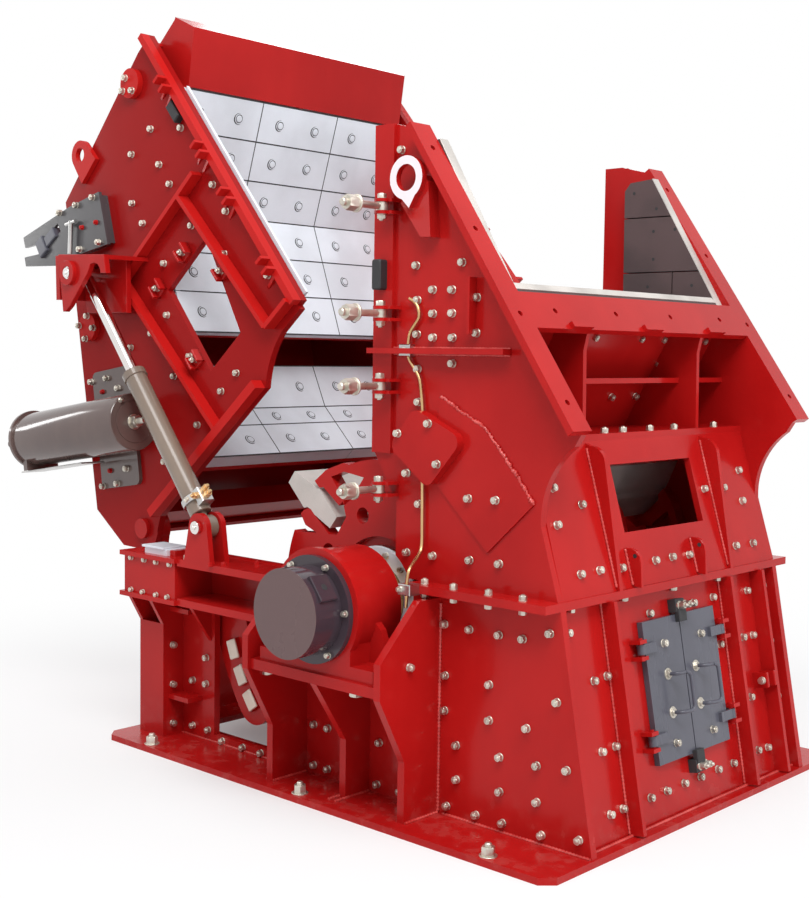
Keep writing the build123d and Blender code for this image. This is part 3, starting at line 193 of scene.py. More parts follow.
def gloss_paint(name, colour, deeper, rough=0.2, coat=0.1, bend=1.24):
    """Colour = deeper + cloud * (colour - deeper); a little dust dulls it near the ground."""
    paint = Finish(name)
    cloud = paint.ramp(paint.noise(1.7, 5), 0.3, 0.7)
    runs = paint.ramp(paint.noise(9, 3, (1, 1, 0.12)), 0.45, 0.8)
    height = paint.node("ShaderNodeSeparateXYZ", None, {"Vector": paint.place}, out="Z")
    dust = (1 - paint.ramp(height, 0, 0.22)) * paint.ramp(paint.noise(14, 6), 0.46, 0.75)
    red = paint.mix(cloud * 0.8 + runs * 0.2, deeper, colour)
    dusty = paint.mix(dust * 0.1, red, DUST)
    return paint.surface(
        Base_Color=dusty,
        Roughness=rough + dust * 0.2 + runs * 0.05,
        IOR=bend,
        Coat_Weight=coat,
        Normal=paint.bump(paint.noise(*PEEL), 0.1, PEEL_DEPTH),
        **COAT,
    )


RED = gloss_paint("gloss_red", (0.47, 0.011, 0.01), (0.37, 0.006, 0.006))
LEAD, LEAD_DEEP = (0.1, 0.1, 0.125), (0.072, 0.072, 0.092)
GRAPHITE = gloss_paint("graphite_paint", LEAD, LEAD_DEEP, 0.26, 0.2, 1.4)
CAN = gloss_paint("can_paint", (0.15, 0.098, 0.084), (0.1, 0.064, 0.058), 0.12, 0.5, 1.5)
BARREL = gloss_paint("barrel_paint", (0.25, 0.185, 0.14), (0.17, 0.125, 0.096), 0.18, 0.5, 1.5)
PLATE = gloss_paint("bracket_paint", (0.07, 0.066, 0.07), (0.046, 0.044, 0.048), 0.24, 0.3, 1.45)


def faced_paint(name, start, face, side, rough, coat=0.5, bend=1.35):
    """Colour = side + step * (face - side), where step is 1 past start metres from the middle.
    The step paints light and shade by place: one surface is coloured lighter or darker than the
    rest.
    """
    paint = Finish(name)
    across = paint.node("ShaderNodeSeparateXYZ", None, {"Vector": paint.place}, out="Y")
    step = paint.ramp(across.math("ABSOLUTE", across, 0), start, start + 0.001)
    cloud = paint.ramp(paint.noise(3, 5), 0.3, 0.7)
    return paint.surface(
        Base_Color=paint.mix(step, side, face),
        Roughness=rough + 0.12 * step + 0.04 * cloud,
        IOR=bend,
        Coat_Weight=coat + (0.1 - coat) * step,
        Normal=paint.bump(paint.noise(*PEEL), 0.1, PEEL_DEPTH),
        **COAT,
    )


SIDE_RED, SIDE_PAINTED_SHADE = (0.5, 0.0115, 0.01), (0.315, 0.0065, 0.0065)
# Bearing covers: the end face is brownish grey, and the side is painted darker for the dark
# surroundings it reflects: painted reflection.
TAUPE = faced_paint("bearing_paint_painted_reflection", 1.1835, (0.134, 0.081, 0.08), (0.052, 0.036, 0.046), 0.14)
# Tilting side plates: the flat face is coloured darker than the flanges and ribs that stand out
# from it: painted shade.
SIDE = faced_paint("side_red_painted_shade", 0.7535, SIDE_RED, SIDE_PAINTED_SHADE, 0.22, 0.03, 1.16)
# Lifting eyes: the outer face is near white, a painted highlight for the sheen on that face; the
# rest is red.
EYE = faced_paint("eye_painted_highlight", 0.8285, (0.84, 0.74, 0.77), (0.43, 0.009, 0.0085), 0.18)
print("paints made")

# %% [markdown]
# ## Bare and cast metal
# Apron plates and blow bars are cast, then blasted to a pale grey with darker scale in the hollows.
# Zinc-plated bolts are warmer and brighter. Turned steel has fine rings, and chrome has none.

# %% Metals
def metal(name, colour, darker, rough, metallic=1, grain=40, depth=0.0008, spread=0.18):
    """Colour = darker + patch * (colour - darker), with a grain in metres for its bump."""
    bare = Finish(name)
    patch = bare.ramp(bare.noise(grain * 0.12, 6), 0.32, 0.66)
    speck = bare.noise(grain * 6, 3)
    return bare.surface(
        Base_Color=bare.mix(patch * 0.7 + speck * 0.3, darker, colour),
        Metallic=metallic,
        Roughness=rough + patch * spread,
        Normal=bare.bump(speck, 0.35, depth),
    )


CAST = metal("cast_plate", (0.8, 0.84, 0.9), (0.66, 0.69, 0.74), 0.4, 0.08, 30, 0.0008)
BAR = metal("cast_bar", (0.66, 0.62, 0.58), (0.46, 0.43, 0.4), 0.42, 0.3, 40, 0.0014)
WEAR = metal("wear_plate", (0.105, 0.066, 0.066), (0.06, 0.04, 0.04), 0.44, 0.2, 36, 0.001)
ZINC = metal("zinc_bolt", (0.72, 0.68, 0.6), (0.46, 0.42, 0.36), 0.26, 0.85, 90, 0.0003)
WORN = metal("worn_edge", (0.8, 0.72, 0.62), (0.58, 0.5, 0.42), 0.34, 0.3, 60, 0.0005)
STEEL = metal("turned_steel", (0.66, 0.65, 0.64), (0.45, 0.44, 0.43), 0.22, 1, 60, 0.0003)
CHROME = metal("chrome", (0.86, 0.84, 0.82), (0.74, 0.71, 0.68), 0.06, 1, 10, 0.0001, 0.04)
BRASS = metal("brass_pipe", (0.74, 0.5, 0.26), (0.55, 0.34, 0.16), 0.22, 1, 50, 0.0003)
# Weld beads are red like the paint, but coloured lighter and pinker: painted highlight for the
# glints along their ripples.
WELD_PAINTED_SHEEN = metal("weld_bead_painted_highlight", (0.66, 0.09, 0.08), (0.44, 0.02, 0.018), 0.1, 0, 120, 0.0006)
RUBBER = metal("black_rubber", (0.03, 0.03, 0.032), (0.016, 0.016, 0.018), 0.55, 0, 60, 0.0004)
print("metals made")

# %% [markdown]
# ## Finishes on the CAD nodes
# Each CAD node has one material slot, and a table from slot to material dresses them all at once.
# Read backwards, the table gives the slot of each material; piece() looks one up for every new
# piece but keeps it nowhere. Brass and rubber have none.

# %% Dress the CAD nodes
BY_SLOT = {
    "housing_red": RED,
    "rotor_red": RED,
    "door_grey": GRAPHITE,
    "can_grey": CAN,
    "cover_taupe": TAUPE,
    "barrel_grey": BARREL,
    "rod_chrome": CHROME,
    "bolt_zinc": ZINC,
    "bar_cast": BAR,
    "shaft_steel": STEEL,
    "plate_cast": CAST,
    "inlet_wear": WEAR,
}
SLOT_OF = {material: slot for slot, material in reversed(BY_SLOT.items())}
SLOT_OF.update({WELD_PAINTED_SHEEN: "housing_red", WORN: "plate_cast"})
BY_NODE = {"door_hinges": RED, "screw_brackets": PLATE, "lifting_rings": EYE, "tilt_sides": SIDE}
for part in frame["record"]["subparts"]:
    body = frame["nodes"][part["node"]]
    body.data.materials.clear()
    body.data.materials.append(BY_NODE.get(part["node"], BY_SLOT[part["material_slot"]]))

# %% [markdown]
# ## Floor and light
# The machine stands in an even, bright hall. A pale floor takes its shadow, the world is white to
# the camera and softer to the surfaces, and five area lamps give the paint something to reflect.

# %% Floor, world and lamps
FLOOR_HALF = 14
WHITE = (1, 1, 1, 1)
floor_signs = ((-1, -1), (1, -1), (1, 1), (-1, 1))
floor_corners = [(x * FLOOR_HALF, y * FLOOR_HALF, 0) for x, y in floor_signs]
floor_mesh = bpy.data.meshes.new("floor")
floor_mesh.from_pydata(floor_corners, [], [(0, 1, 2, 3)])
floor = bpy.data.objects.new("floor", floor_mesh)
bpy.context.scene.collection.objects.link(floor)
pale = Finish("pale_floor")
floor_mesh.materials.append(pale.material)
matte = pale.node("ShaderNodeBsdfDiffuse", None, {"Color": (0.84, 0.84, 0.84, 1)})
camera_ray, glossy_ray, through_ray = pale.rays()
far_out = pale.node("ShaderNodeVectorMath", {"operation": "LENGTH"}, {0: pale.place}, "Value")
near_glow = 0.15 + 0.4 * pale.ramp(far_out, 0.9, 1.5)
glow = near_glow + 0.45 * pale.ramp(far_out, 1.8, 4.5)
share = (camera_ray + glossy_ray + through_ray) * glow
white_glow = pale.node("ShaderNodeEmission", None, {"Color": WHITE, "Strength": 1})
faded = pale.node("ShaderNodeMixShader", None, {0: share, 1: matte, 2: white_glow})
pale.close("ShaderNodeOutputMaterial", faded)

world = bpy.data.worlds.new("hall")
bpy.context.scene.world = world
world.use_nodes = True
hall = Net(world.node_tree)
camera_ray, glossy_ray, through_ray = hall.rays()
seen = camera_ray.math("MAXIMUM", camera_ray, glossy_ray)
seen = seen.math("MAXIMUM", seen, through_ray)
soft = hall.node("ShaderNodeBackground", None, {"Color": (0.95, 0.97, 1, 1), "Strength": 0.6})
white = hall.node("ShaderNodeBackground", None, {"Color": WHITE, "Strength": 1})
blend = hall.node("ShaderNodeMixShader", None, {0: seen, 1: soft, 2: white})
hall.close("ShaderNodeOutputWorld", blend)


def lamp(name, place, aim, size, watts):
    """An area lamp of that size in metres, turned from its place to its aim."""
    data = bpy.data.lights.new(name, "AREA")
    data.shape = "RECTANGLE"
    data.size, data.size_y = size
    data.energy = watts
    thing = bpy.data.objects.new(name, data)
    bpy.context.scene.collection.objects.link(thing)
    away = np.array(place) - np.array(aim)
    heading = atan2(away[0], -away[1])
    rise = atan2(away[2], np.hypot(away[0], away[1]))
    thing.location = place
    thing.rotation_euler = (pi / 2 - rise, 0, heading)


lamp("key", (4.2, -3, 6.4), (0, 0, 1), (4, 2.5), 290)
lamp("side", (1.4, -4.2, 7), (0.4, -0.7, 1), (4, 2.5), 170)
lamp("front", (6.4, 0.8, 2.4), (0.6, 0, 1), (3, 2.6), 70)
lamp("fill", (-3.5, 4.5, 4.5), (0, 0, 1.2), (4, 3), 130)
lamp("streak", (-5.1, -2.3, 3), (-1.8, -0.9, 1.25), (0.5, 1.6), 20)
print("lamps:", len(bpy.data.lights))

# %% [markdown]
# ## Many small pieces as one mesh
# Hundreds of bolts would be slow as objects. One bolt is worked out as a grid: the angle round the
# axis is one parameter and the ring number is the other. All copies are then turned and placed at
# once, as one array, and become one mesh.

# %% Grids, lathed shapes and copies
def grid_faces(rows, columns):
    """Corner numbers of the faces of a grid whose last column joins the first."""
    row, column = np.meshgrid(np.arange(rows - 1), np.arange(columns), indexing="ij")
    after = (column + 1) % columns
    lower, upper = row * columns, (row + 1) * columns
    faces = np.stack([lower + column, lower + after, upper + after, upper + column], -1)
    return faces.reshape(-1, 4)


def lathe(rings, around=24):
    """A shape turned about Z: radius = reach * (1 + hex * (1 / cos(angle in its flat) - 1)).

    A ring is (height, reach) if it is round, or (height, reach, hex) with hex 1 for six sides."""
    height, reach, hexed = np.array([(*ring, 0)[:3] for ring in rings], float).T[:, :, None]
    angle = np.arange(around) * 2 * pi / around
    in_flat = (angle + pi / 6) % (pi / 3) - pi / 6
    radius = reach * (1 + hexed * (1 / np.cos(in_flat) - 1))
    height = np.broadcast_to(height, radius.shape)
    points = np.stack([radius * np.cos(angle), radius * np.sin(angle), height], -1)
    return points.reshape(-1, 3), [grid_faces(len(rings), around)]


def metres(shape):
    """A shape given in millimetres, now in metres."""
    return shape[0] / 1000, shape[1]


def turned_to(directions, spin=0):
    """One turning matrix per direction that carries +Z onto it."""
    ahead = np.asarray(directions, float)
    ahead = ahead / np.linalg.norm(ahead, axis=1, keepdims=True)
    helper = np.where(np.abs(ahead[:, 2:]) > 0.9, [[1, 0, 0]], [[0, 0, 1]])
    side = np.cross(helper, ahead)
    side /= np.linalg.norm(side, axis=1, keepdims=True)
    upright = np.cross(ahead, side)
    spin = np.broadcast_to(spin, len(ahead))[:, None]
    first = side * np.cos(spin) + upright * np.sin(spin)
    second = np.cross(ahead, first)
    return np.stack([first, second, ahead], -1)


def copies(shape, places, directions, spin=0):
    """Every copy is turning @ point + place, all at once."""
    points, blocks = metres(shape)
    places = np.asarray(places, float)
    turning = turned_to(directions, spin)
    moved = np.einsum("nij,kj->nki", turning, points) + places[:, None, :]
    step = np.arange(len(places))[:, None, None] * len(points)
    blocks = [(block[None] + step).reshape(-1, block.shape[1]) for block in blocks]
    return moved.reshape(-1, 3), blocks


def piece(name, shapes, material, body="fixed_housing", smooth=30, finish_slot=None):
    """Join shapes, each with its points and blocks of faces, into an object that rides a body."""
    finish_slot = finish_slot or SLOT_OF.get(material)
    points, faces, start = [], [], 0
    for some_points, blocks in shapes:
        points.append(some_points)
        for block in blocks:
            faces += (block + start).tolist()
        start += len(some_points)
    mesh = bpy.data.meshes.new(name)
    mesh.from_pydata(np.concatenate(points).tolist(), [], faces)
    mesh.polygons.foreach_set("use_smooth", np.ones(len(faces), bool))
    mesh.set_sharp_from_angle(angle=radians(smooth))
    mesh.materials.append(material)
    thing = bpy.data.objects.new(name, mesh)
    bpy.context.scene.collection.objects.link(thing)
    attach(thing, body)
    print(name, "faces", len(faces))
    return thing


# %% [markdown]
# ## The tilted housing's own coordinates
# The rear housing is easier to think of shut. A place in the shut housing is turned about the
# hinge by the angle that the housing stands open.

# %% From shut to open
HINGE = np.array([-1.262, 0, 0.9])
OPEN_ANGLE = radians(40.3)
TILT_COS, TILT_SIN = cos(OPEN_ANGLE), sin(OPEN_ANGLE)
OPENING = np.array([[TILT_COS, 0, -TILT_SIN], [0, 1, 0], [TILT_SIN, 0, TILT_COS]])


def opened(points):
    """Turn (x, y, z) of the shut housing about the hinge line."""
    return HINGE + (points - HINGE) @ OPENING.T


# %% [markdown]
# ## Faces to build on
# Every bolt belongs to a flat face of the machine. A face is an origin, a first and a second
# direction along it, and a direction out of it. Its spots are given in millimetres along the first
# two, and what stands on the near side is mirrored to the far side.

# %% A flat face
WALL_LEAN = atan2(150, 815)
PANEL_LEAN = atan2(154, 523)
INLET_HOOD_LEAN = atan2(257, 487)
SIDE_LEVEL = 752  # outer face of the near side plate, from the middle plane
BASE_TOP, FLANGE_UNDER, FLANGE_TOP = 25, 840, 870
PEDESTAL_TOP, SHELF_UNDER, BOX_TOP, HOOD_TOP = 580, 490, 836, 1418
SHAFT_X, SHAFT_Z = 150, 765
ROD_FOOT = (-634, 981)
HEAD_PIN = (-1495, 2036)
SIDES = ((-1, "near"), (1, "far"))
TILT = "tilting_housing"
UP, DOWN = (0, 0, 1), (0, 0, -1)


class Face:
    """A flat face: place = origin + first * u + second * v + out * lift, all in millimetres."""

    def __init__(self, origin, first, second, shut=False):
        self.origin = np.asarray(origin, float)
        self.axes = np.array([first, second, np.cross(first, second)], float)
        self.shut = shut

    def at(self, points):
        """Carry (u, v, lift) points to metres; a face of the shut housing is opened too."""
        places = (self.origin + np.asarray(points, float) @ self.axes) / 1000
        return opened(places) if self.shut else places

    def way(self, direction=UP):
        """A direction given along (u, v, out), as one direction of the machine."""
        turned = np.asarray(direction, float) @ self.axes
        return OPENING @ turned if self.shut else turned


def side_face(level, shut=False):
    """The near side plate at a distance from the machine's middle plane."""
    return Face((0, -level, 0), (1, 0, 0), (0, 0, 1), shut)


def leaning_face(foot_x, foot_z, lean):
    """A cross wall that leans back; u runs to the far side and v up the wall."""
    return Face((foot_x, 0, foot_z), (0, 1, 0), (-sin(lean), 0, cos(lean)))


NEAR = side_face(SIDE_LEVEL)
TILT_NEAR = side_face(SIDE_LEVEL, shut=True)
WALL = leaning_face(1155, 25, WALL_LEAN)
PANEL = leaning_face(1037, 870, PANEL_LEAN)
FLAT = Face((0, 0, 0), (1, 0, 0), (0, 1, 0))
print("faces ready")


# %% [markdown]
# ## Shapes from two parameters
# Besides lathed shapes there are three more: a slab is an outline with a bevelled edge, a tube is
# a circle carried along a path, and a weld bead is a tube whose radius ripples as the weld froze.

# %% Slabs and tubes
def slab(outline, thick, bevel=1.5, base=0):
    """An outline of (u, v) corners raised by thick, its upper edge bevelled, in millimetres."""
    corners = np.asarray(outline, float)
    ahead = np.roll(corners, -1, 0) - corners
    if np.sum(corners[:, 0] * ahead[:, 1] - corners[:, 1] * ahead[:, 0]) < 0:
        corners = corners[::-1]
        ahead = np.roll(corners, -1, 0) - corners
    ahead /= np.linalg.norm(ahead, axis=1, keepdims=True)
    inward = np.stack([-ahead[:, 1], ahead[:, 0]], -1)
    meet = inward + np.roll(inward, 1, 0)
    meet /= np.maximum(np.sum(meet * inward, axis=1, keepdims=True), 0.25)
    shrunk = corners + meet * bevel
    count = len(corners)
    levels = [(corners, base), (corners, base + thick - bevel), (shrunk, base + thick)]
    points = np.concatenate([np.column_stack([ring, np.full(count, z)]) for ring, z in levels])
    lower_cap = np.arange(count)[None, ::-1]
    upper_cap = np.arange(2 * count, 3 * count)[None]
    return points, [grid_faces(3, count), lower_cap, upper_cap]


def rounded(width, height, corner, steps=5):
    """Outline of a rectangle with rounded corners about the middle."""
    angle = np.linspace(0, pi / 2, steps)
    turns = (np.arange(4)[:, None] * pi / 2 + angle).ravel()
    centre_u = np.repeat([1, -1, -1, 1], steps) * (width / 2 - corner)
    centre_v = np.repeat([1, 1, -1, -1], steps) * (height / 2 - corner)
    return np.stack([centre_u + corner * np.cos(turns), centre_v + corner * np.sin(turns)], -1)


def box(u_range, v_range, lift_range, bevel=1.5):
    """A bevelled block between two values of u, of v and of lift."""
    (u0, u1), (v0, v1), (low, high) = u_range, v_range, lift_range
    return slab([(u0, v0), (u1, v0), (u1, v1), (u0, v1)], high - low, bevel, low)


def smoothed(corners, radius=25, steps=6):
    """A path with rounded bends: each inner corner becomes a curve between its two sides."""
    corners = np.asarray(corners, float)
    path = [corners[0]]
    for before, corner, after in zip(corners[:-2], corners[1:-1], corners[2:]):
        back, ahead = before - corner, after - corner
        reach = min(radius, np.linalg.norm(back) / 2.1, np.linalg.norm(ahead) / 2.1)
        start = corner + back / np.linalg.norm(back) * reach
        end = corner + ahead / np.linalg.norm(ahead) * reach
        share = np.linspace(0, 1, steps)[:, None]
        path.extend((1 - share) ** 2 * start + 2 * share * (1 - share) * corner + share**2 * end)
    path.append(corners[-1])
    return np.array(path)


def tube(path, radius, around=12, ripple=None):
    """Place = path + radius * (side * cos + upright * sin); the ends close to a point."""
    path = np.asarray(path, float)
    ahead = np.gradient(path, axis=0)
    ahead /= np.linalg.norm(ahead, axis=1, keepdims=True)
    helper = np.where(np.abs(ahead[:, 2:]).max() > 0.95, [[0.31, 0.95, 0]], [[0, 0, 1]])
    side = np.cross(ahead, helper)
    side /= np.linalg.norm(side, axis=1, keepdims=True)
    upright = np.cross(ahead, side)
    angle = np.arange(around) * 2 * pi / around
    reach = np.full(len(path), float(radius)) if ripple is None else radius * ripple
    angle = angle[None, :, None]
    ring = side[:, None] * np.cos(angle) + upright[:, None] * np.sin(angle)
    body = path[:, None] + ring * reach[:, None, None]
    ends = [path[0] + ring[0] * 0.01 * radius, path[-1] + ring[-1] * 0.01 * radius]
    rings = np.concatenate([ends[:1], body, ends[1:]])
    return rings.reshape(-1, 3), [grid_faces(len(rings), around)]


def resampled(corners, step):
    """The same path with a point about every step."""
    corners = np.asarray(corners, float)
    lengths = np.linalg.norm(np.diff(corners, axis=0), axis=1)
    along = np.concatenate([[0], np.cumsum(lengths)])
    wanted = np.linspace(0, along[-1], max(3, int(along[-1] / step)))
    return np.stack([np.interp(wanted, along, corners[:, axis]) for axis in range(3)], -1)


def bead(corners, radius=5, pitch=14, per_ripple=3):
    """A weld bead: radius * 1.15 * (0.6 + 0.4 * |sin|) along the path, one ripple per pitch."""
    path = resampled(corners, pitch / per_ripple)
    along = np.arange(len(path)) / per_ripple
    return tube(path, radius * 1.15, 6, 0.6 + 0.4 * np.abs(np.sin(along * pi)))


def on(face, shape):
    """Carry a shape built on a face to its place in metres."""
    points, blocks = shape
    return face.at(points), blocks


def mirrored(shape):
    """The same shape on the far side; its faces turn round so that they still face outward."""
    points, blocks = shape
    return points * (1, -1, 1), [block[:, ::-1] for block in blocks]


def shifted(shape, offset):
    """The same shape moved by an offset."""
    return shape[0] + offset, shape[1]


def both(shapes):
    """Every shape and its mirror image."""
    return list(shapes) + [mirrored(shape) for shape in shapes]


# %% [markdown]
# ## Nuts and bolts
# Wear plates inside the machine are held by bolts whose nuts show outside on every wall: a washer,
# a hexagon nut and the end of the bolt. The nut's flats are 25 mm apart. Each nut stands at its own
# angle, because nobody lines them up.

# %% One nut, one bolt head, one stud
def nut_shape(flats=25, thick=15, washer=15.2, stud=4):
    """Washer, hexagon with a chamfered top, and the rounded end of the bolt."""
    half, top = flats / 2, 3.5 + thick
    rings = [
        (-4, washer), (2.5, washer), (3.5, washer - 1), (3.5, half, 1),
        (3.5 + thick * 0.88, half, 1), (top, half * 0.98, 0.15), (top, half * 0.62),
        (top + stud * 0.7, half * 0.6), (top + stud, half * 0.42), (top + stud, 0.01),
    ]
    return lathe(rings)


def dark_hole(radius):
    """A dark disc that stands for a small hole: the shade inside the hole is painted into it."""
    return lathe([(-2, radius), (0.8, radius), (0.8, 0.01)], 20)


NUT = nut_shape()
LARGE_NUT = nut_shape(50, 30, 32, 4)
FOUNDATION_NUT = nut_shape(42, 30, 32, 12)
SMALL_NUT = nut_shape(19, 10, 12, 3)
CAP_BOLT = nut_shape(19, 14, 12.5, 0.5)
HEAD = nut_shape(25, 15, 15.2, 0.5)
random = np.random.default_rng(7)


def bolts(face, spots, shape=NUT, direction=UP, lift=0):
    """Copies of one bolt at (u, v) spots of a face, each turned by a chance angle."""
    spots = np.asarray(spots, float)
    lifts = np.full(len(spots), lift) if spots.shape[1] == 2 else spots[:, 2]
    places = face.at(np.column_stack([spots[:, :2], lifts]))
    ways = np.repeat(face.way(direction)[None], len(spots), axis=0)
    return copies(shape, places, ways, random.uniform(0, pi, len(spots)))


print("one nut has", len(NUT[1][0]), "faces")

# %% [markdown]
# ## Nuts of the fixed housing
# The near side plates carry the nuts in loose rows; the far side is their mirror image. The two
# leaning walls in front have their own rows, between the ribs.

# %% Nuts on the fixed walls
UPPER_NUTS = [
    (458, 1931), (549, 1929), (460, 1845), (551, 1846), (462, 1759), (555, 1759),
    (664, 1900), (664, 1776), (555, 1667), (390, 1645), (384, 1771), (384, 1895),
    (395, 1525), (405, 1152), (347, 967), (476, 968), (651, 972), (785, 974),
    (375, 2020), (594, 2024), (295, 2442),
]
DOUBLER_NUTS = [(646, 1192), (770, 1196)]
LOWER_NUTS = [
    (538, 726), (656, 724), (790, 724), (895, 726), (1010, 762), (545, 539), (545, 410),
    (751, 541), (753, 414), (803, 292), (806, 169), (919, 418), (966, 297), (969, 170),
    (1045, 532), (1092, 308), (603, 293), (606, 168), (562, 60), (700, 60), (821, 60),
    (992, 60), (1148, 82),
]
POST_NUTS = [
    (-905, 270), (-815, 383), (-815, 269), (-905, 70), (-800, 70), (-706, 40), (-572, 40),
    (-458, 40), (-330, 40), (-140, 224), (-60, 224), (220, 224), (-140, 60), (-60, 60),
    (210, 60), (330, 60),
]
WALL_NUTS = [
    (-560, 559), (-566, 315), (-562, 98), (-480, 563), (-482, 317), (-484, 100), (-164, 743),
    (143, 744), (290, 748), (300, 561), (300, 315), (-308, 98), (-200, 99), (-79, 100),
    (35, 99), (165, 100), (282, 99), (560, 742), (690, 748), (480, 563), (560, 561),
    (690, 519), (480, 323), (690, 291), (480, 110), (560, 105), (-672, 741),
]
PANEL_NUTS = [
    (-651, 389), (-506, 320), (-671, 260), (327, 323), (475, 319), (625, 383), (598, 256),
    (468, 80), (605, 78), (-598, 80), (-483, 82), (-347, 76), (-124, 81), (-8, 82), (112, 79),
]
near_nuts = [bolts(NEAR, UPPER_NUTS), bolts(side_face(760), DOUBLER_NUTS)]
near_nuts += [bolts(NEAR, LOWER_NUTS), bolts(NEAR, POST_NUTS)]
piece("liner_nuts_sides", both(near_nuts), ZINC)
piece("liner_nuts_lower_wall", [bolts(WALL, WALL_NUTS)], ZINC)
piece("liner_nuts_panel", [bolts(PANEL, PANEL_NUTS)], ZINC)
COVER_BOLTS = [(335, 1409), (484, 1451), (528, 1308), (381, 1266)]
piece("cover_bolts", both([bolts(side_face(797), COVER_BOLTS)]), ZINC)

# %% Bolts through the parting flange, the post, the pedestals and the foundation
FLANGE_NEAR = [(478, -800), (621, -806), (780, -806), (931, -806)]
FLANGE_FRONT = [(1018, y) for y in (-647, -323, 7, 335, 657)]


def flange_row(spots):
    """Nuts on the parting flange and heads under it."""
    nuts = bolts(FLAT, spots, NUT, lift=FLANGE_TOP)
    return [nuts, bolts(FLAT, spots, HEAD, DOWN, FLANGE_UNDER)]


near_row = flange_row(FLANGE_NEAR)
piece("flange_bolts", both(near_row) + flange_row(FLANGE_FRONT), ZINC)

POST_FLANGE = Face((-977, 0, 0), (0, 1, 0), (0, 0, 1))
RIB_FACE = Face((516, 0, 0), (0, 1, 0), (0, 0, 1))
post_bolts = bolts(POST_FLANGE, [(-812, 423), (-812, 249), (-812, 77)])
rib_bolts = bolts(RIB_FACE, [(-920, 590)])
piece("post_bolts", both([post_bolts, rib_bolts]), ZINC)

FOOT_BOLTS = [(-85, -962), (301, -975)]
SHELF_HEADS = [(-184, -968), (304, -968)]
foot_nuts = bolts(FLAT, FOOT_BOLTS, LARGE_NUT, lift=PEDESTAL_TOP)
foot_heads = bolts(FLAT, SHELF_HEADS, LARGE_NUT, DOWN, SHELF_UNDER)
piece("pedestal_bolts", both([foot_nuts, foot_heads]), ZINC)

FOUNDATION = [(x, -960) for x in (-925, 0, 925)]
foundation = bolts(FLAT, FOUNDATION, FOUNDATION_NUT, lift=BASE_TOP)
piece("foundation_bolts", both([foundation]), ZINC)

# %% [markdown]
# ## The hood and the two window lugs
# Bolts also show where the hood's shelf carries the liners, and two small upright tabs, each with
# a hole, stand on the parting flange at the foot of the window wall.

# %% Hood bolts and window lugs
HOOD_SHELF = [(860, y) for y in (-244, -123, 62, 235, 541)]
HOOD_BACK = leaning_face(535, HOOD_TOP, -INLET_HOOD_LEAN)
HOOD_BACK_NUTS = [(174, 138), (348, 138), (390, 293), (673, 402)]
HOOD_BACK_NUTS[3:3] = [(u, 404) for u in (-128, 188, 352)]
hood_shelf = bolts(FLAT, HOOD_SHELF, NUT, lift=HOOD_TOP)
piece("hood_bolts", [hood_shelf, bolts(HOOD_BACK, HOOD_BACK_NUTS)], ZINC)

TAB = [(1035, 872), (1072, 872), (1067, 960), (1060, 985), (1045, 1003), (1025, 1010), (996, 1010)]
TAB_LEVELS, TAB_THICK, TAB_HOLE = (281, -164), 14, (1040, 984)
tabs = [on(side_face(level), slab(TAB, TAB_THICK)) for level in TAB_LEVELS]
piece("window_lugs", tabs, RED)
# The hole in each lug is a dark disc: painted shade.
tab_holes = [bolts(side_face(level + TAB_THICK), [TAB_HOLE], dark_hole(8)) for level in TAB_LEVELS]
piece("window_lug_holes", tab_holes, RUBBER)

# %% [markdown]
# ## Grease pipe, rubber block and weld seams
# The pipe climbs in front of the parting flange, follows the near side plate and winds round two
# nuts at the top. It is one circle carried along a path, held by two clamp blocks. The seam round
# the reinforcing plate was left rough, and its ripples catch the light.

# %% Pipe with its clamps
PIPE = [
    (352, 1901, 14), (388, 1884, 14), (408, 1835, 14), (355, 1780, 14), (345, 1690, 14),
    (409, 1617, 14), (425, 1509, 14), (432, 1021, 14), (436, 985, 22), (462, 925, 118),
    (457, 880, 122), (456, 790, 122),
]
pipe_path = NEAR.at(resampled(smoothed(PIPE, 30), 8))
piece("grease_pipe", both([tube(pipe_path, 0.0062, 14)]), BRASS, smooth=60)
clamp_shapes = [on(NEAR, box((315, 370), (1690, 1735), (0, 30), 3))]
clamp_shapes += [on(NEAR, box((428, 486), (836, 876), (83, 138), 3))]
piece("pipe_clamps", both(clamp_shapes), STEEL)
clamp_bolts = bolts(NEAR, [(342, 1712, 30), (440, 857, 138)], SMALL_NUT)
piece("pipe_clamp_bolts", both([clamp_bolts]), ZINC)
rubber = on(side_face(767), slab(rounded(46, 112, 10) + (216, 1990), 38, 5))
piece("buffer_blocks", both([rubber]), RUBBER)

# %% Weld seams
SEAM = [
    (503, 1546, 0), (612, 1490, 0), (709, 1442, 0), (790, 1356, 0), (858, 1280, 0), (931, 1192, 0),
]
seam_path = resampled(np.array(SEAM) + (2, 2, 4), 5)
seam_path += random.normal(0, 1.6, seam_path.shape)
rough_seam = tube(NEAR.at(seam_path), 0.0072, 8, 0.45 + 0.75 * random.random(len(seam_path)))
piece("rough_seam", both([rough_seam]), WELD_PAINTED_SHEEN, smooth=60)


def upright_beads(face, places, low, high, radius=5):
    """One bead up a face at each of the places along it."""
    return [on(face, bead([(u, low, 3), (u, high, 3)], radius)) for u in places]


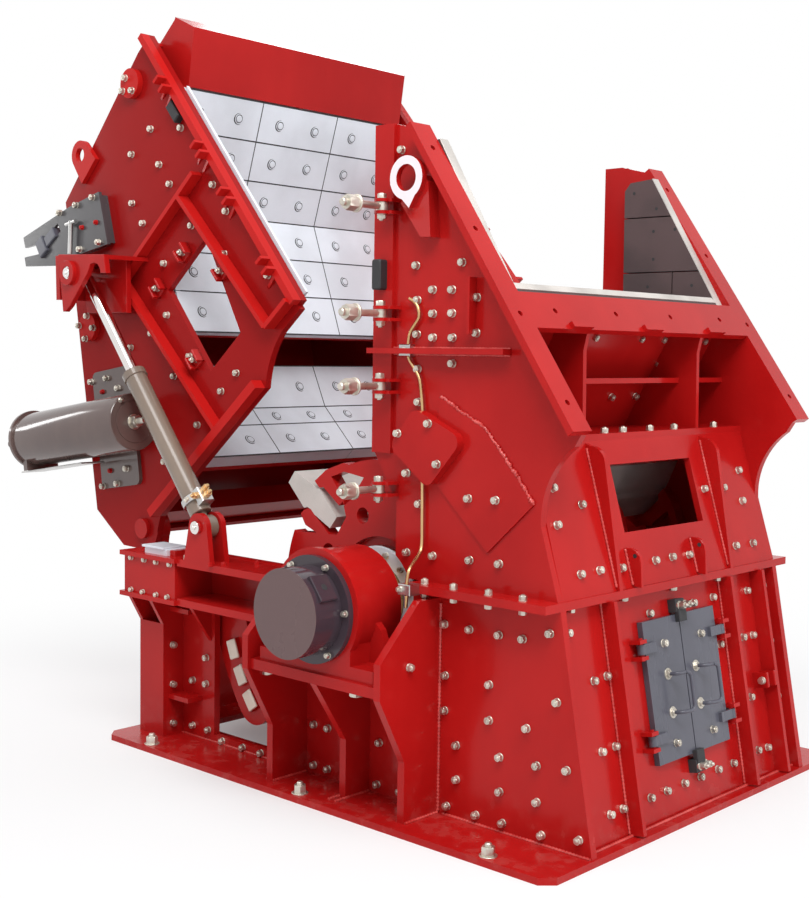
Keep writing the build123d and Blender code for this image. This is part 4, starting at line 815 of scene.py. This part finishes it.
beads = upright_beads(WALL, (-462, -438, 348, 372), 4, 822)
beads += upright_beads(PANEL, (-402, -378, 378, 402), 12, 520)
beads += upright_beads(PANEL, (-299, 146), 8, 142)
BEAD_LIFT = BASE_TOP + 2
beads += [on(FLAT, bead([(1166, -722, BEAD_LIFT), (1166, 722, BEAD_LIFT)], 6))]
piece("front_seams", beads, WELD_PAINTED_SHEEN, smooth=60)
side_beads = [on(NEAR, bead([(540, BEAD_LIFT, 3), (1196, BEAD_LIFT, 3)], 6))]
side_beads += upright_beads(NEAR, (482, 518), 30, 800, 6)
side_beads += [on(NEAR, bead([(180, z, 3), (815, z, 3)], 4)) for z in (1698, 1722)]
for x in (-218, -182, 132, 168, 482, 518):
    side_beads.append(on(FLAT, bead([(x, -755, BEAD_LIFT), (x, -935, BEAD_LIFT)], 6)))
side_beads += [on(FLAT, bead([(-1200, -756, BEAD_LIFT), (-220, -756, BEAD_LIFT)], 5))]
piece("side_seams", both(side_beads), WELD_PAINTED_SHEEN, smooth=60)

# %% [markdown]
# ## Bearings and the hub
# The end cover is held by six screws and carries a small milled block. Behind it, between the
# bearing and the side plate, show the golden sleeve of the shaft and the hub with its screws. They
# turn with the rotor, and the stepped shaft stands in for the plain one of the CAD model.

# %% Cover screws, block, shaft and hubs
SHAFT_SPOT = [(SHAFT_X, SHAFT_Z)]
COVER_FACE, HUB_FACE = 1057, 695


def round_shaft(radius, count, start):
    """Spots on a circle about the shaft."""
    angle = start + np.arange(count) * 2 * pi / count
    return np.stack([SHAFT_X + radius * np.cos(angle), SHAFT_Z + radius * np.sin(angle)], -1)


cap_screws = bolts(side_face(COVER_FACE), round_shaft(183, 6, radians(3)), CAP_BOLT)
piece("cover_screws", both([cap_screws]), ZINC)
BLOCK_REACH, BLOCK_TURN = 150, radians(38)
along = np.array([cos(BLOCK_TURN), 0, sin(BLOCK_TURN)])
block_foot = np.array([SHAFT_X, -COVER_FACE, SHAFT_Z]) + BLOCK_REACH * along
BLOCK = Face(block_foot, (-along[2], 0, along[0]), (0, -1, 0))
block = on(BLOCK, box((-52, 52), (22, 104), (0, 24), 3))
block_hole = shifted(lathe([(22, 13), (24.6, 13), (24.8, 12), (24.8, 0.01)]), (0, 62, 0))
piece("cover_blocks", both([block]), TAUPE)
piece("cover_block_plugs", both([on(BLOCK, block_hole)]), RUBBER)
SHAFT_HALF = [
    (655, 130), (655, 200), (693, 200), (HUB_FACE, 198), (HUB_FACE, 130), (778, 130), (780, 128),
    (780, 90), (1073, 90), (1075, 88), (1075, 0.01),
]
shaft_rings = [(-height, reach) for height, reach in SHAFT_HALF[::-1]] + SHAFT_HALF
shaft = bolts(side_face(0), SHAFT_SPOT, lathe(shaft_rings, 64))
shaft_piece = piece("shaft_and_hubs", [shaft], STEEL, "rotor")
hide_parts("rotor_shaft")
SLEEVE = [(1, 129), (1, 133), (3, 135), (94, 135), (96, 133), (96, 129), (1, 129)]
sleeve = bolts(side_face(700), SHAFT_SPOT, lathe(SLEEVE, 64))
piece("shaft_sleeves", both([sleeve]), BRASS, "rotor")
HUB_RING = [(-2, 136), (-2, 199), (6, 199), (8, 197), (8, 138), (6, 136), (-2, 136)]
hub_ring = bolts(side_face(HUB_FACE), SHAFT_SPOT, lathe(HUB_RING, 64))
# The hub ring is steel, but it wears the pale, nearly non-metal cast finish, which keeps it light
# inside the shaded opening: painted light.
piece("hub_rings", both([hub_ring]), CAST, "rotor", finish_slot="shaft_steel")
hub_screws = bolts(side_face(HUB_FACE + 8), round_shaft(174, 12, radians(15)), CAP_BOLT)
piece("hub_screws", both([hub_screws]), ZINC, "rotor")

# %% [markdown]
# ## Outrigger box and cylinder foot
# The shut housing rests on a stack of thin shims on the box. The box cover is bolted on, and the
# cylinder's pin ends in a bright washer with one screw.

# %% Box bolts, shims and pin ends
BOX_BOLTS = [(x, 808) for x in (-1083, -990, -907, -815)]
BOX_BOLTS += [(x, 668) for x in (-1083, -1000, -907, -830)]
FOOT_PLUGS = [(-543, -960), (-500, -925), (-439, -800)]
box_bolts = bolts(side_face(950), BOX_BOLTS, SMALL_NUT)
foot_small = bolts(FLAT, [(-735, -925)], NUT, lift=BOX_TOP)
piece("box_bolts", both([box_bolts, foot_small]), ZINC)
piece("foot_plugs", both([bolts(FLAT, FOOT_PLUGS, SMALL_NUT, lift=BOX_TOP)]), RED)
shims = [on(FLAT, box((-1010, -860), (-935, -822), (BOX_TOP, 862), 2))]
shims += [on(FLAT, box((-1022, -872), (-942, -826), (862, 871)))]
piece("shim_packs", both(shims), CAST)


def pin_end(flat=27, thick=9):
    """A turned washer with a domed screw in its middle."""
    rings = [
        (-2, flat), (thick - 2, flat), (thick, flat - 2), (thick, flat * 0.5),
        (thick - 1.5, flat * 0.45), (thick - 1.5, flat * 0.34), (thick + 5, flat * 0.32),
        (thick + 7, flat * 0.2), (thick + 7, 0.01),
    ]
    return lathe(rings, 32)


piece("foot_pin_ends", both([bolts(side_face(961), [ROD_FOOT], pin_end())]), CHROME)

# %% [markdown]
# ## Barrels and ports of the cylinders
# Each barrel is slimmer than the CAD model's and stands in for it. It ends in a clamped block with
# brass fittings, which are plugged because the hoses are left out: they lead away to the pump.

# %% Barrels and port blocks
BARREL_WAY = np.array([-0.632293, 0, 0.774729])
PORT_REACH, BARREL_LEVEL = 118, 900
TUBE = [
    (36, 0.01), (36, 21), (60, 21), (60, 44), (63, 47), (766, 47), (767, 51), (769, 53), (797, 53),
    (800, 50), (800, 29), (796, 26.5), (796, 0.01),
]
EYE_OF_TUBE = [(-24, 0.01), (-24, 45), (-21, 48), (21, 48), (24, 45), (24, 0.01)]
COLLAR = [(-6, 44), (-6, 55), (-3, 57), (21, 57), (24, 55), (24, 44), (-6, 44)]
for side, word in SIDES:
    foot = np.array([ROD_FOOT[0], side * BARREL_LEVEL, ROD_FOOT[1]])
    PORT = Face(foot + PORT_REACH * BARREL_WAY, (0, 1, 0), BARREL_WAY)
    collar = copies(lathe(COLLAR, 40), PORT.at([(0, 0, 0)]), [BARREL_WAY])
    block = on(PORT, box((-30, 30), (-40, 30), (40, 78), 4))
    fitting = nut_shape(27, 16, 14, 14)
    ports = bolts(PORT, [(0, -14, 78), (0, 14, 78)], fitting)
    side_ports = bolts(PORT, [(-30, 0, 58)], fitting, (-1, 0, 0))
    collar_bolts = bolts(PORT, [(-52, 9, 12), (52, 9, 12)], SMALL_NUT)
    shell = copies(lathe(TUBE, 48), [foot / 1000], [BARREL_WAY])
    eye = copies(lathe(EYE_OF_TUBE, 40), [foot / 1000], [(0, 1, 0)])
    body = f"barrel_{word}"
    barrel_piece = piece(body, [shell, eye], BARREL, body)
    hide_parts(f"cylinder_barrel_{word}")
    piece(f"port_collar_{word}", [collar, block], STEEL, body)
    piece(f"port_fittings_{word}", [ports, side_ports], BRASS, body)
    piece(f"port_bolts_{word}", [collar_bolts], ZINC, body)

# %% [markdown]
# ## Doors
# Each leaf has a bent grab handle and two bolts. Above and below, a toggle holds both leaves shut.

# %% Handles, bolts and toggles
DOOR_FACE = 23
GRIP_LOW, GRIP_HIGH, GRIP_RISE = 371, 513, 60
HANDLE_FEET = {"near": -124, "far": 72}
for side, word in SIDES:
    feet = HANDLE_FEET[word]
    grip = feet + GRIP_RISE
    path = [(feet, GRIP_LOW, 20), (feet, GRIP_LOW, 66), (grip, GRIP_LOW, 84)]
    path += [(grip, GRIP_HIGH, 84), (feet, GRIP_HIGH, 66), (feet, GRIP_HIGH, 20)]
    handle = tube(WALL.at(resampled(smoothed(path, 24), 4)), 0.0072, 14)
    foot_spots = [(feet, GRIP_LOW, DOOR_FACE), (feet, GRIP_HIGH, DOOR_FACE)]
    washers = bolts(WALL, foot_spots, nut_shape(26, 8, 22, 2))
    leaf_bolts = bolts(WALL, [(side * 130, 627, DOOR_FACE), (side * 130, 260, DOOR_FACE)])
    piece(f"door_handle_{word}", [handle], GRAPHITE, f"door_{word}", smooth=60)
    piece(f"door_bolts_{word}", [washers, leaf_bolts], ZINC, f"door_{word}")

toggles, toggle_bolts = [], []
for v, reach in ((752, -60), (152, 60)):
    toggles.append(on(WALL, box((-26, 26), sorted((v, v + reach)), (24, 44), 3)))
    toggles.append(on(WALL, box((-30, 30), (v - 24, v + 24), (0, 38), 4)))
    toggle_bolts.append(bolts(WALL, [(-12, v, 40), (24, v, 40)], nut_shape(24, 22, 17, 12)))
piece("door_toggles", toggles, RUBBER)
piece("door_toggle_bolts", toggle_bolts, ZINC)
stop = [on(WALL, box((u, u + 16), (352, 412), (0, 66), 3)) for u in (520, 580)]
piece("door_stop_lugs", stop, RED)
stop_bolt = bolts(WALL, [(596, 382, 44)], NUT, (1, 0, 0))
stop_head = bolts(WALL, [(520, 382, 44)], HEAD, (-1, 0, 0))
piece("door_stop_bolts", [stop_bolt, stop_head], ZINC)

# %% [markdown]
# ## Swing bolts
# Each swing bolt carries a thick washer and a large nut. Both turn with the bolt, so they ride on
# its own body, and every one of the eight bolts gets its own piece. The upright pins that the bolts
# turn on have a nut above and below.

# %% Washers and nuts of the swing bolts
SWING_HEIGHTS = (1200, 1580, 1846, 2235)
SWING_SPOT = [(254, -815)]
PIN_HALF = 28
SWING_NUT = [
    (127, 15), (127, 31), (129, 33), (134, 33), (136, 31), (136, 27), (141, 27), (142, 25.5),
    (142, 25.5, 1), (180, 25.5, 1), (185, 25, 0.2), (185, 15), (203, 14.5), (207, 11), (207, 0.01),
]
pin_nuts = []
for height in SWING_HEIGHTS:
    pin_nuts.append(bolts(FLAT, SWING_SPOT, nut_shape(30, 15, 18, 2), UP, height + PIN_HALF))
    pin_nuts.append(bolts(FLAT, SWING_SPOT, nut_shape(30, 14, 18, 7), DOWN, height - PIN_HALF))
piece("swing_pin_nuts", both(pin_nuts), ZINC)
for side, word in SIDES:
    for number, height in enumerate(SWING_HEIGHTS, start=1):
        place = (0.254, side * 0.815, height / 1000)
        nut = copies(lathe(SWING_NUT, 36), [place], [(0, side, 0)])
        piece(f"swing_nut_{word}_{number}", [nut], ZINC, f"swing_bolt_{word}_{number}")

# %% [markdown]
# ## Nuts of the tilting housing
# The spots are given on the shut housing, and the face opens them.

# %% Nuts, buffers and window clamps on the tilting sides
TILT_NUTS = [
    (-136, 2053), (-138, 1937), (-386, 2062), (-387, 1941), (-144, 1698), (-388, 1704),
    (-516, 1518), (-511, 1280), (-652, 1529), (-650, 1283), (-810, 1579), (-442, 1033),
    (-317, 1030), (-658, 1021), (-944, 1038), (-60, 1459), (-60, 1336), (-60, 1215),
    (85, 1210), (60, 1587), (-81, 2215), (70, 2065), (70, 1730), (-250, 2230), (-600, 1900),
]
DISC_NUTS = [(-947, 1883), (-1025, 1890), (-947, 1811), (-1025, 1811)]
DISC_NUTS += [(-44, 2491), (-45, 2412), (-95, 2462)]
tilt_nuts = [bolts(TILT_NEAR, TILT_NUTS), bolts(side_face(780, shut=True), DISC_NUTS)]
piece("tilt_nuts", both(tilt_nuts), ZINC, TILT)
tilt_buffer = on(TILT_NEAR, box((74, 118), (2088, 2180), (0, 36), 5))
piece("tilt_buffers", both([tilt_buffer]), RUBBER, TILT)

window_clamps, clamp_nuts = [], []
for u, v in ((-110, 1409), (-480, 1640), (-480, 1236), (-250, 1640)):
    for u_range, rise in (((-34, -22), 42), ((22, 34), 42), ((-34, 34), 14)):
        u_range = (u + u_range[0], u + u_range[1])
        window_clamps.append(on(TILT_NEAR, box(u_range, (v - 30, v + 30), (0, rise), 3)))
    clamp_nuts.append(bolts(TILT_NEAR, [(u, v, 14)], nut_shape(25, 18, 15, 12)))
piece("window_clamps", both(window_clamps), RED, TILT)
piece("window_clamp_nuts", both(clamp_nuts), ZINC, TILT)

# %% Screw bracket, its screw block and T bolt
BRACKET = side_face(802, shut=True)
BRACKET_BOLTS = [(-541, 2242), (-659, 2307), (-780, 2374), (-639, 2057), (-768, 2133)]
BRACKET_PLUGS = [(-596, 2139), (-692, 2198)]
piece("bracket_bolts", both([bolts(BRACKET, BRACKET_BOLTS)]), ZINC, TILT)
bracket_plugs = bolts(BRACKET, BRACKET_PLUGS, SMALL_NUT)
piece("bracket_plugs", both([bracket_plugs]), RED, TILT)
dip = radians(-7)
SCREW = Face((-925, -770, 2342), (cos(dip), 0, sin(dip)), (-sin(dip), 0, cos(dip)), shut=True)
screw = [on(SCREW, box((-95, -30), (-42, 42), (-6, 50), 4))]
screw += [on(SCREW, box((-30, 60), (-26, 26), (-4, 44), 4))]
piece("screw_blocks", both(screw), GRAPHITE, TILT)
stem = tube(BRACKET.at(resampled([(-822, 2152, 22), (-716, 2262, 22)], 10)), 0.011, 14)
bar = tube(BRACKET.at(resampled([(-758, 2275, 22), (-690, 2236, 22)], 10)), 0.009, 14)
piece("tee_bolts", both([stem, bar]), STEEL, TILT, smooth=60)

# %% Spring cans: nut and stud, rim bolt, plate bolts, jacket and tray
CAN_BOLTS = [
    (-1131, 1639), (-1026, 1576), (-986, 1486), (-1171, 1169), (-1370, 1214), (-1272, 1158),
]
CAN_MIDDLE = (-886, -872, 1218)
can_turn = radians(148.4)
CAN_AXIS = np.array([-cos(can_turn), 0, -sin(can_turn)])
CAN_PLATE = side_face(770, shut=True)
CAN_FRONT = Face(CAN_MIDDLE, (0, 1, 0), (-CAN_AXIS[2], 0, CAN_AXIS[0]), shut=True)
TRAY = Face(CAN_MIDDLE, (0, 1, 0), -CAN_AXIS, shut=True)
can_nut = bolts(CAN_FRONT, [(0, 0, 6)], nut_shape(50, 30, 34, 40))
rim_bolt = bolts(CAN_FRONT, [(-60, 96, 4)], SMALL_NUT)
can_shapes = [bolts(CAN_PLATE, CAN_BOLTS), can_nut, rim_bolt]
piece("can_bolts", both(can_shapes), ZINC, TILT)
can_plugs = bolts(CAN_PLATE, [(-1092, 1549), (-1279, 1236)], SMALL_NUT)
piece("can_plugs", both([can_plugs]), RED, TILT)
tray = on(TRAY, box((-62, 62), (330, 830), (-152, -145), 2))
saddle = on(TRAY, box((-84, 84), (742, 772), (-146, -60), 3))
JACKET = [
    (-1000, 0.01), (-1000, 18), (-998, 20), (-898, 20), (-898, 42), (-893, 46), (-872, 48),
    (-803, 118), (-797, 137), (-794, 139), (-780, 139), (-777, 137), (-776, 127), (-2, 127),
    (4, 125), (6, 121), (6, 96), (4, 95), (4, 92), (6, 91), (6, 0.01),
]
jacket = bolts(CAN_FRONT, [(0, 0)], lathe(JACKET, 72))
piece("can_jackets", both([jacket, saddle]), CAN, TILT, smooth=24)
piece("can_trays", both([tray]), STEEL, TILT)

# %% Head brackets and the pins of the rod heads
# The near cheek is cut away beside the rod's eye; the inner cheek is whole. Two ties join them.
CHEEK_CUT = [
    (-1585, 2121), (-1236, 2108), (-1221, 2029), (-1262, 2029), (-1268, 2050), (-1284, 2068),
    (-1312, 2076), (-1338, 2070), (-1358, 2033), (-1496, 1889), (-1532, 1866), (-1548, 1866),
]
CHEEK_WHOLE = [(-1580, 1866), (-1275, 1863), (-1280, 2111), (-1630, 2125)]
CHEEK_THICK, TIE_LONG = 24, 215
TIE_BACK = [(-1630, 1920), (-1600, 1920), (-1606, 2118), (-1636, 2118)]
TIE_TOP = [(-1590, 2098), (-1236, 2090), (-1236, 2108), (-1590, 2120)]
cheeks = [on(side_face(962), slab(CHEEK_CUT, CHEEK_THICK, 2))]
cheeks += [on(side_face(814), slab(CHEEK_WHOLE, CHEEK_THICK, 2))]
cheeks += [on(NEAR, slab(tie, TIE_LONG)) for tie in (TIE_BACK, TIE_TOP)]
bracket_piece = piece("head_cheeks", both(cheeks), RED, TILT)
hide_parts("head_brackets")
BOSS = [(-1, 55), (16, 55), (18, 53), (18, 30), (16, 28), (-1, 28), (-1, 55)]
for side, word in SIDES:
    boss = bolts(side_face(987), [HEAD_PIN], lathe(BOSS, 48))
    cap = bolts(side_face(1001), [HEAD_PIN], pin_end(24, 6))
    boss, cap = (boss, cap) if side < 0 else (mirrored(boss), mirrored(cap))
    piece(f"head_boss_{word}", [boss], RED, f"rod_{word}")
    piece(f"head_pin_cap_{word}", [cap], CHROME, f"rod_{word}")

# %% [markdown]
# ## Plugs of the apron plates
# Every cast plate is held by two bolts whose heads are sunk and capped with a flat round plug. The
# plates lie in three columns, and the rows follow the bent line of the apron. Thin dark strips over
# the joints are painted shade for the shadow in the gaps, and a dark disc set off-centre under each
# plug is painted shadow on the shaded side of its sunk rim.

# %% Plugs of the aprons, with painted shade in the joints and beside the plugs
PLUG = lathe([
    (-6, 24), (1.2, 24), (2.2, 23), (2.2, 20), (-0.5, 19), (-0.5, 16), (3.2, 15), (3.6, 13),
    (3.6, 0.01),
], 36)
# A dark disc under each plug, shifted to one side: painted shadow.
SHADE = lathe([(-2, 26), (0.5, 26), (1, 25.5), (1, 0.01)], 36)
SHADE_SHIFT = (3.5, 1)
THIRDS, SIXTHS = (0, 1 / 3, 2 / 3, 1), (1 / 6, 1 / 2, 5 / 6)
APRON_LINES = [  # start, end, shares of the length with plugs, shares with a joint
    ((147, 2244), (-311, 1954), SIXTHS, THIRDS),
    ((-311, 1954), (-511, 1423), SIXTHS, THIRDS),
    ((-755, 1430), (-813, 1221), (0.5,), (0, 1)),
    ((-813, 1221), (-788, 940), (0.185, 0.68), (0, 0.37, 1)),
]
COLUMN_WIDE, PLUG_OFF, APRON_HALF = 473.3, 112, 684
COLUMNS = [column * COLUMN_WIDE + side * PLUG_OFF for column in (-1, 0, 1) for side in (-1, 1)]
plugs, shades, painted_joint_shade = [], [], []
for start, end, plug_rows, joint_rows in APRON_LINES:
    start, end = np.array(start, float), np.array(end, float)
    length = np.linalg.norm(end - start)
    run = (end - start) / length
    sheet = Face((start[0], 0, start[1]), (0, -1, 0), (run[0], 0, run[1]), shut=True)
    spots = np.array([(-y, row * length) for row in plug_rows for y in COLUMNS])
    plugs.append(bolts(sheet, spots, PLUG))
    shades.append(bolts(sheet, spots + SHADE_SHIFT, SHADE))
    # Dark strips across and along the joints between plates: painted shade for the gaps.
    for middle in (row * length for row in joint_rows):
        across = box((-APRON_HALF, APRON_HALF), (middle - 3, middle + 3), (-3, 0.8), 0.3)
        painted_joint_shade.append(on(sheet, across))
    for u in (COLUMN_WIDE / 2, -COLUMN_WIDE / 2):
        painted_joint_shade.append(on(sheet, box((u - 2.5, u + 2.5), (2, length - 2), (-3, 0.7), 0.3)))
piece("apron_plugs", plugs, CAST, TILT)
piece("apron_painted_shade", painted_joint_shade + shades, RUBBER, TILT)

# %% Ends of the grinding bars and bright edges of the inlet
BAR_REACH, BAR_LEVEL = 890, 721
bar_ends = []
for turn in radians(201.6) + np.arange(3) * radians(7.4):
    way = np.array([cos(turn), 0, sin(turn)])
    centre = np.array([SHAFT_X, -BAR_LEVEL, SHAFT_Z]) + BAR_REACH * way
    bar_end = Face(centre, way, (-way[2], 0, way[0]))
    bar_ends.append(on(bar_end, slab(rounded(58, 83, 6), 8, 3)))
piece("grinding_bar_ends", both(bar_ends), WORN)
INNER_LEVEL, SILL_LONG = 677, 1352
SILL_EDGE = [(773, 1929), (776, 1932), (755, 1953), (752, 1950)]
LINER_EDGE = [(446, 2471), (778, 1919), (781, 1921), (449, 2473)]
edges = both([on(side_face(INNER_LEVEL), slab(LINER_EDGE, 45, 0.8))])
edges.append(on(side_face(-SILL_LONG / 2), slab(SILL_EDGE, SILL_LONG, 0.8)))
piece("inlet_edges", edges, BAR)

# %% Plugs of the dark inlet liners
LINER_PLUGS = [
    (356, 2415), (472, 2342), (460, 2245), (567, 2249), (462, 2125), (437, 2006), (657, 2007),
    (420, 1850), (640, 1850), (420, 1620), (560, 1620),
]
inner_face = Face((0, INNER_LEVEL, 0), (1, 0, 0), (0, 0, 1))
liner_plugs = bolts(inner_face, LINER_PLUGS, dark_hole(7))
piece("liner_plugs", both([liner_plugs]), RUBBER)
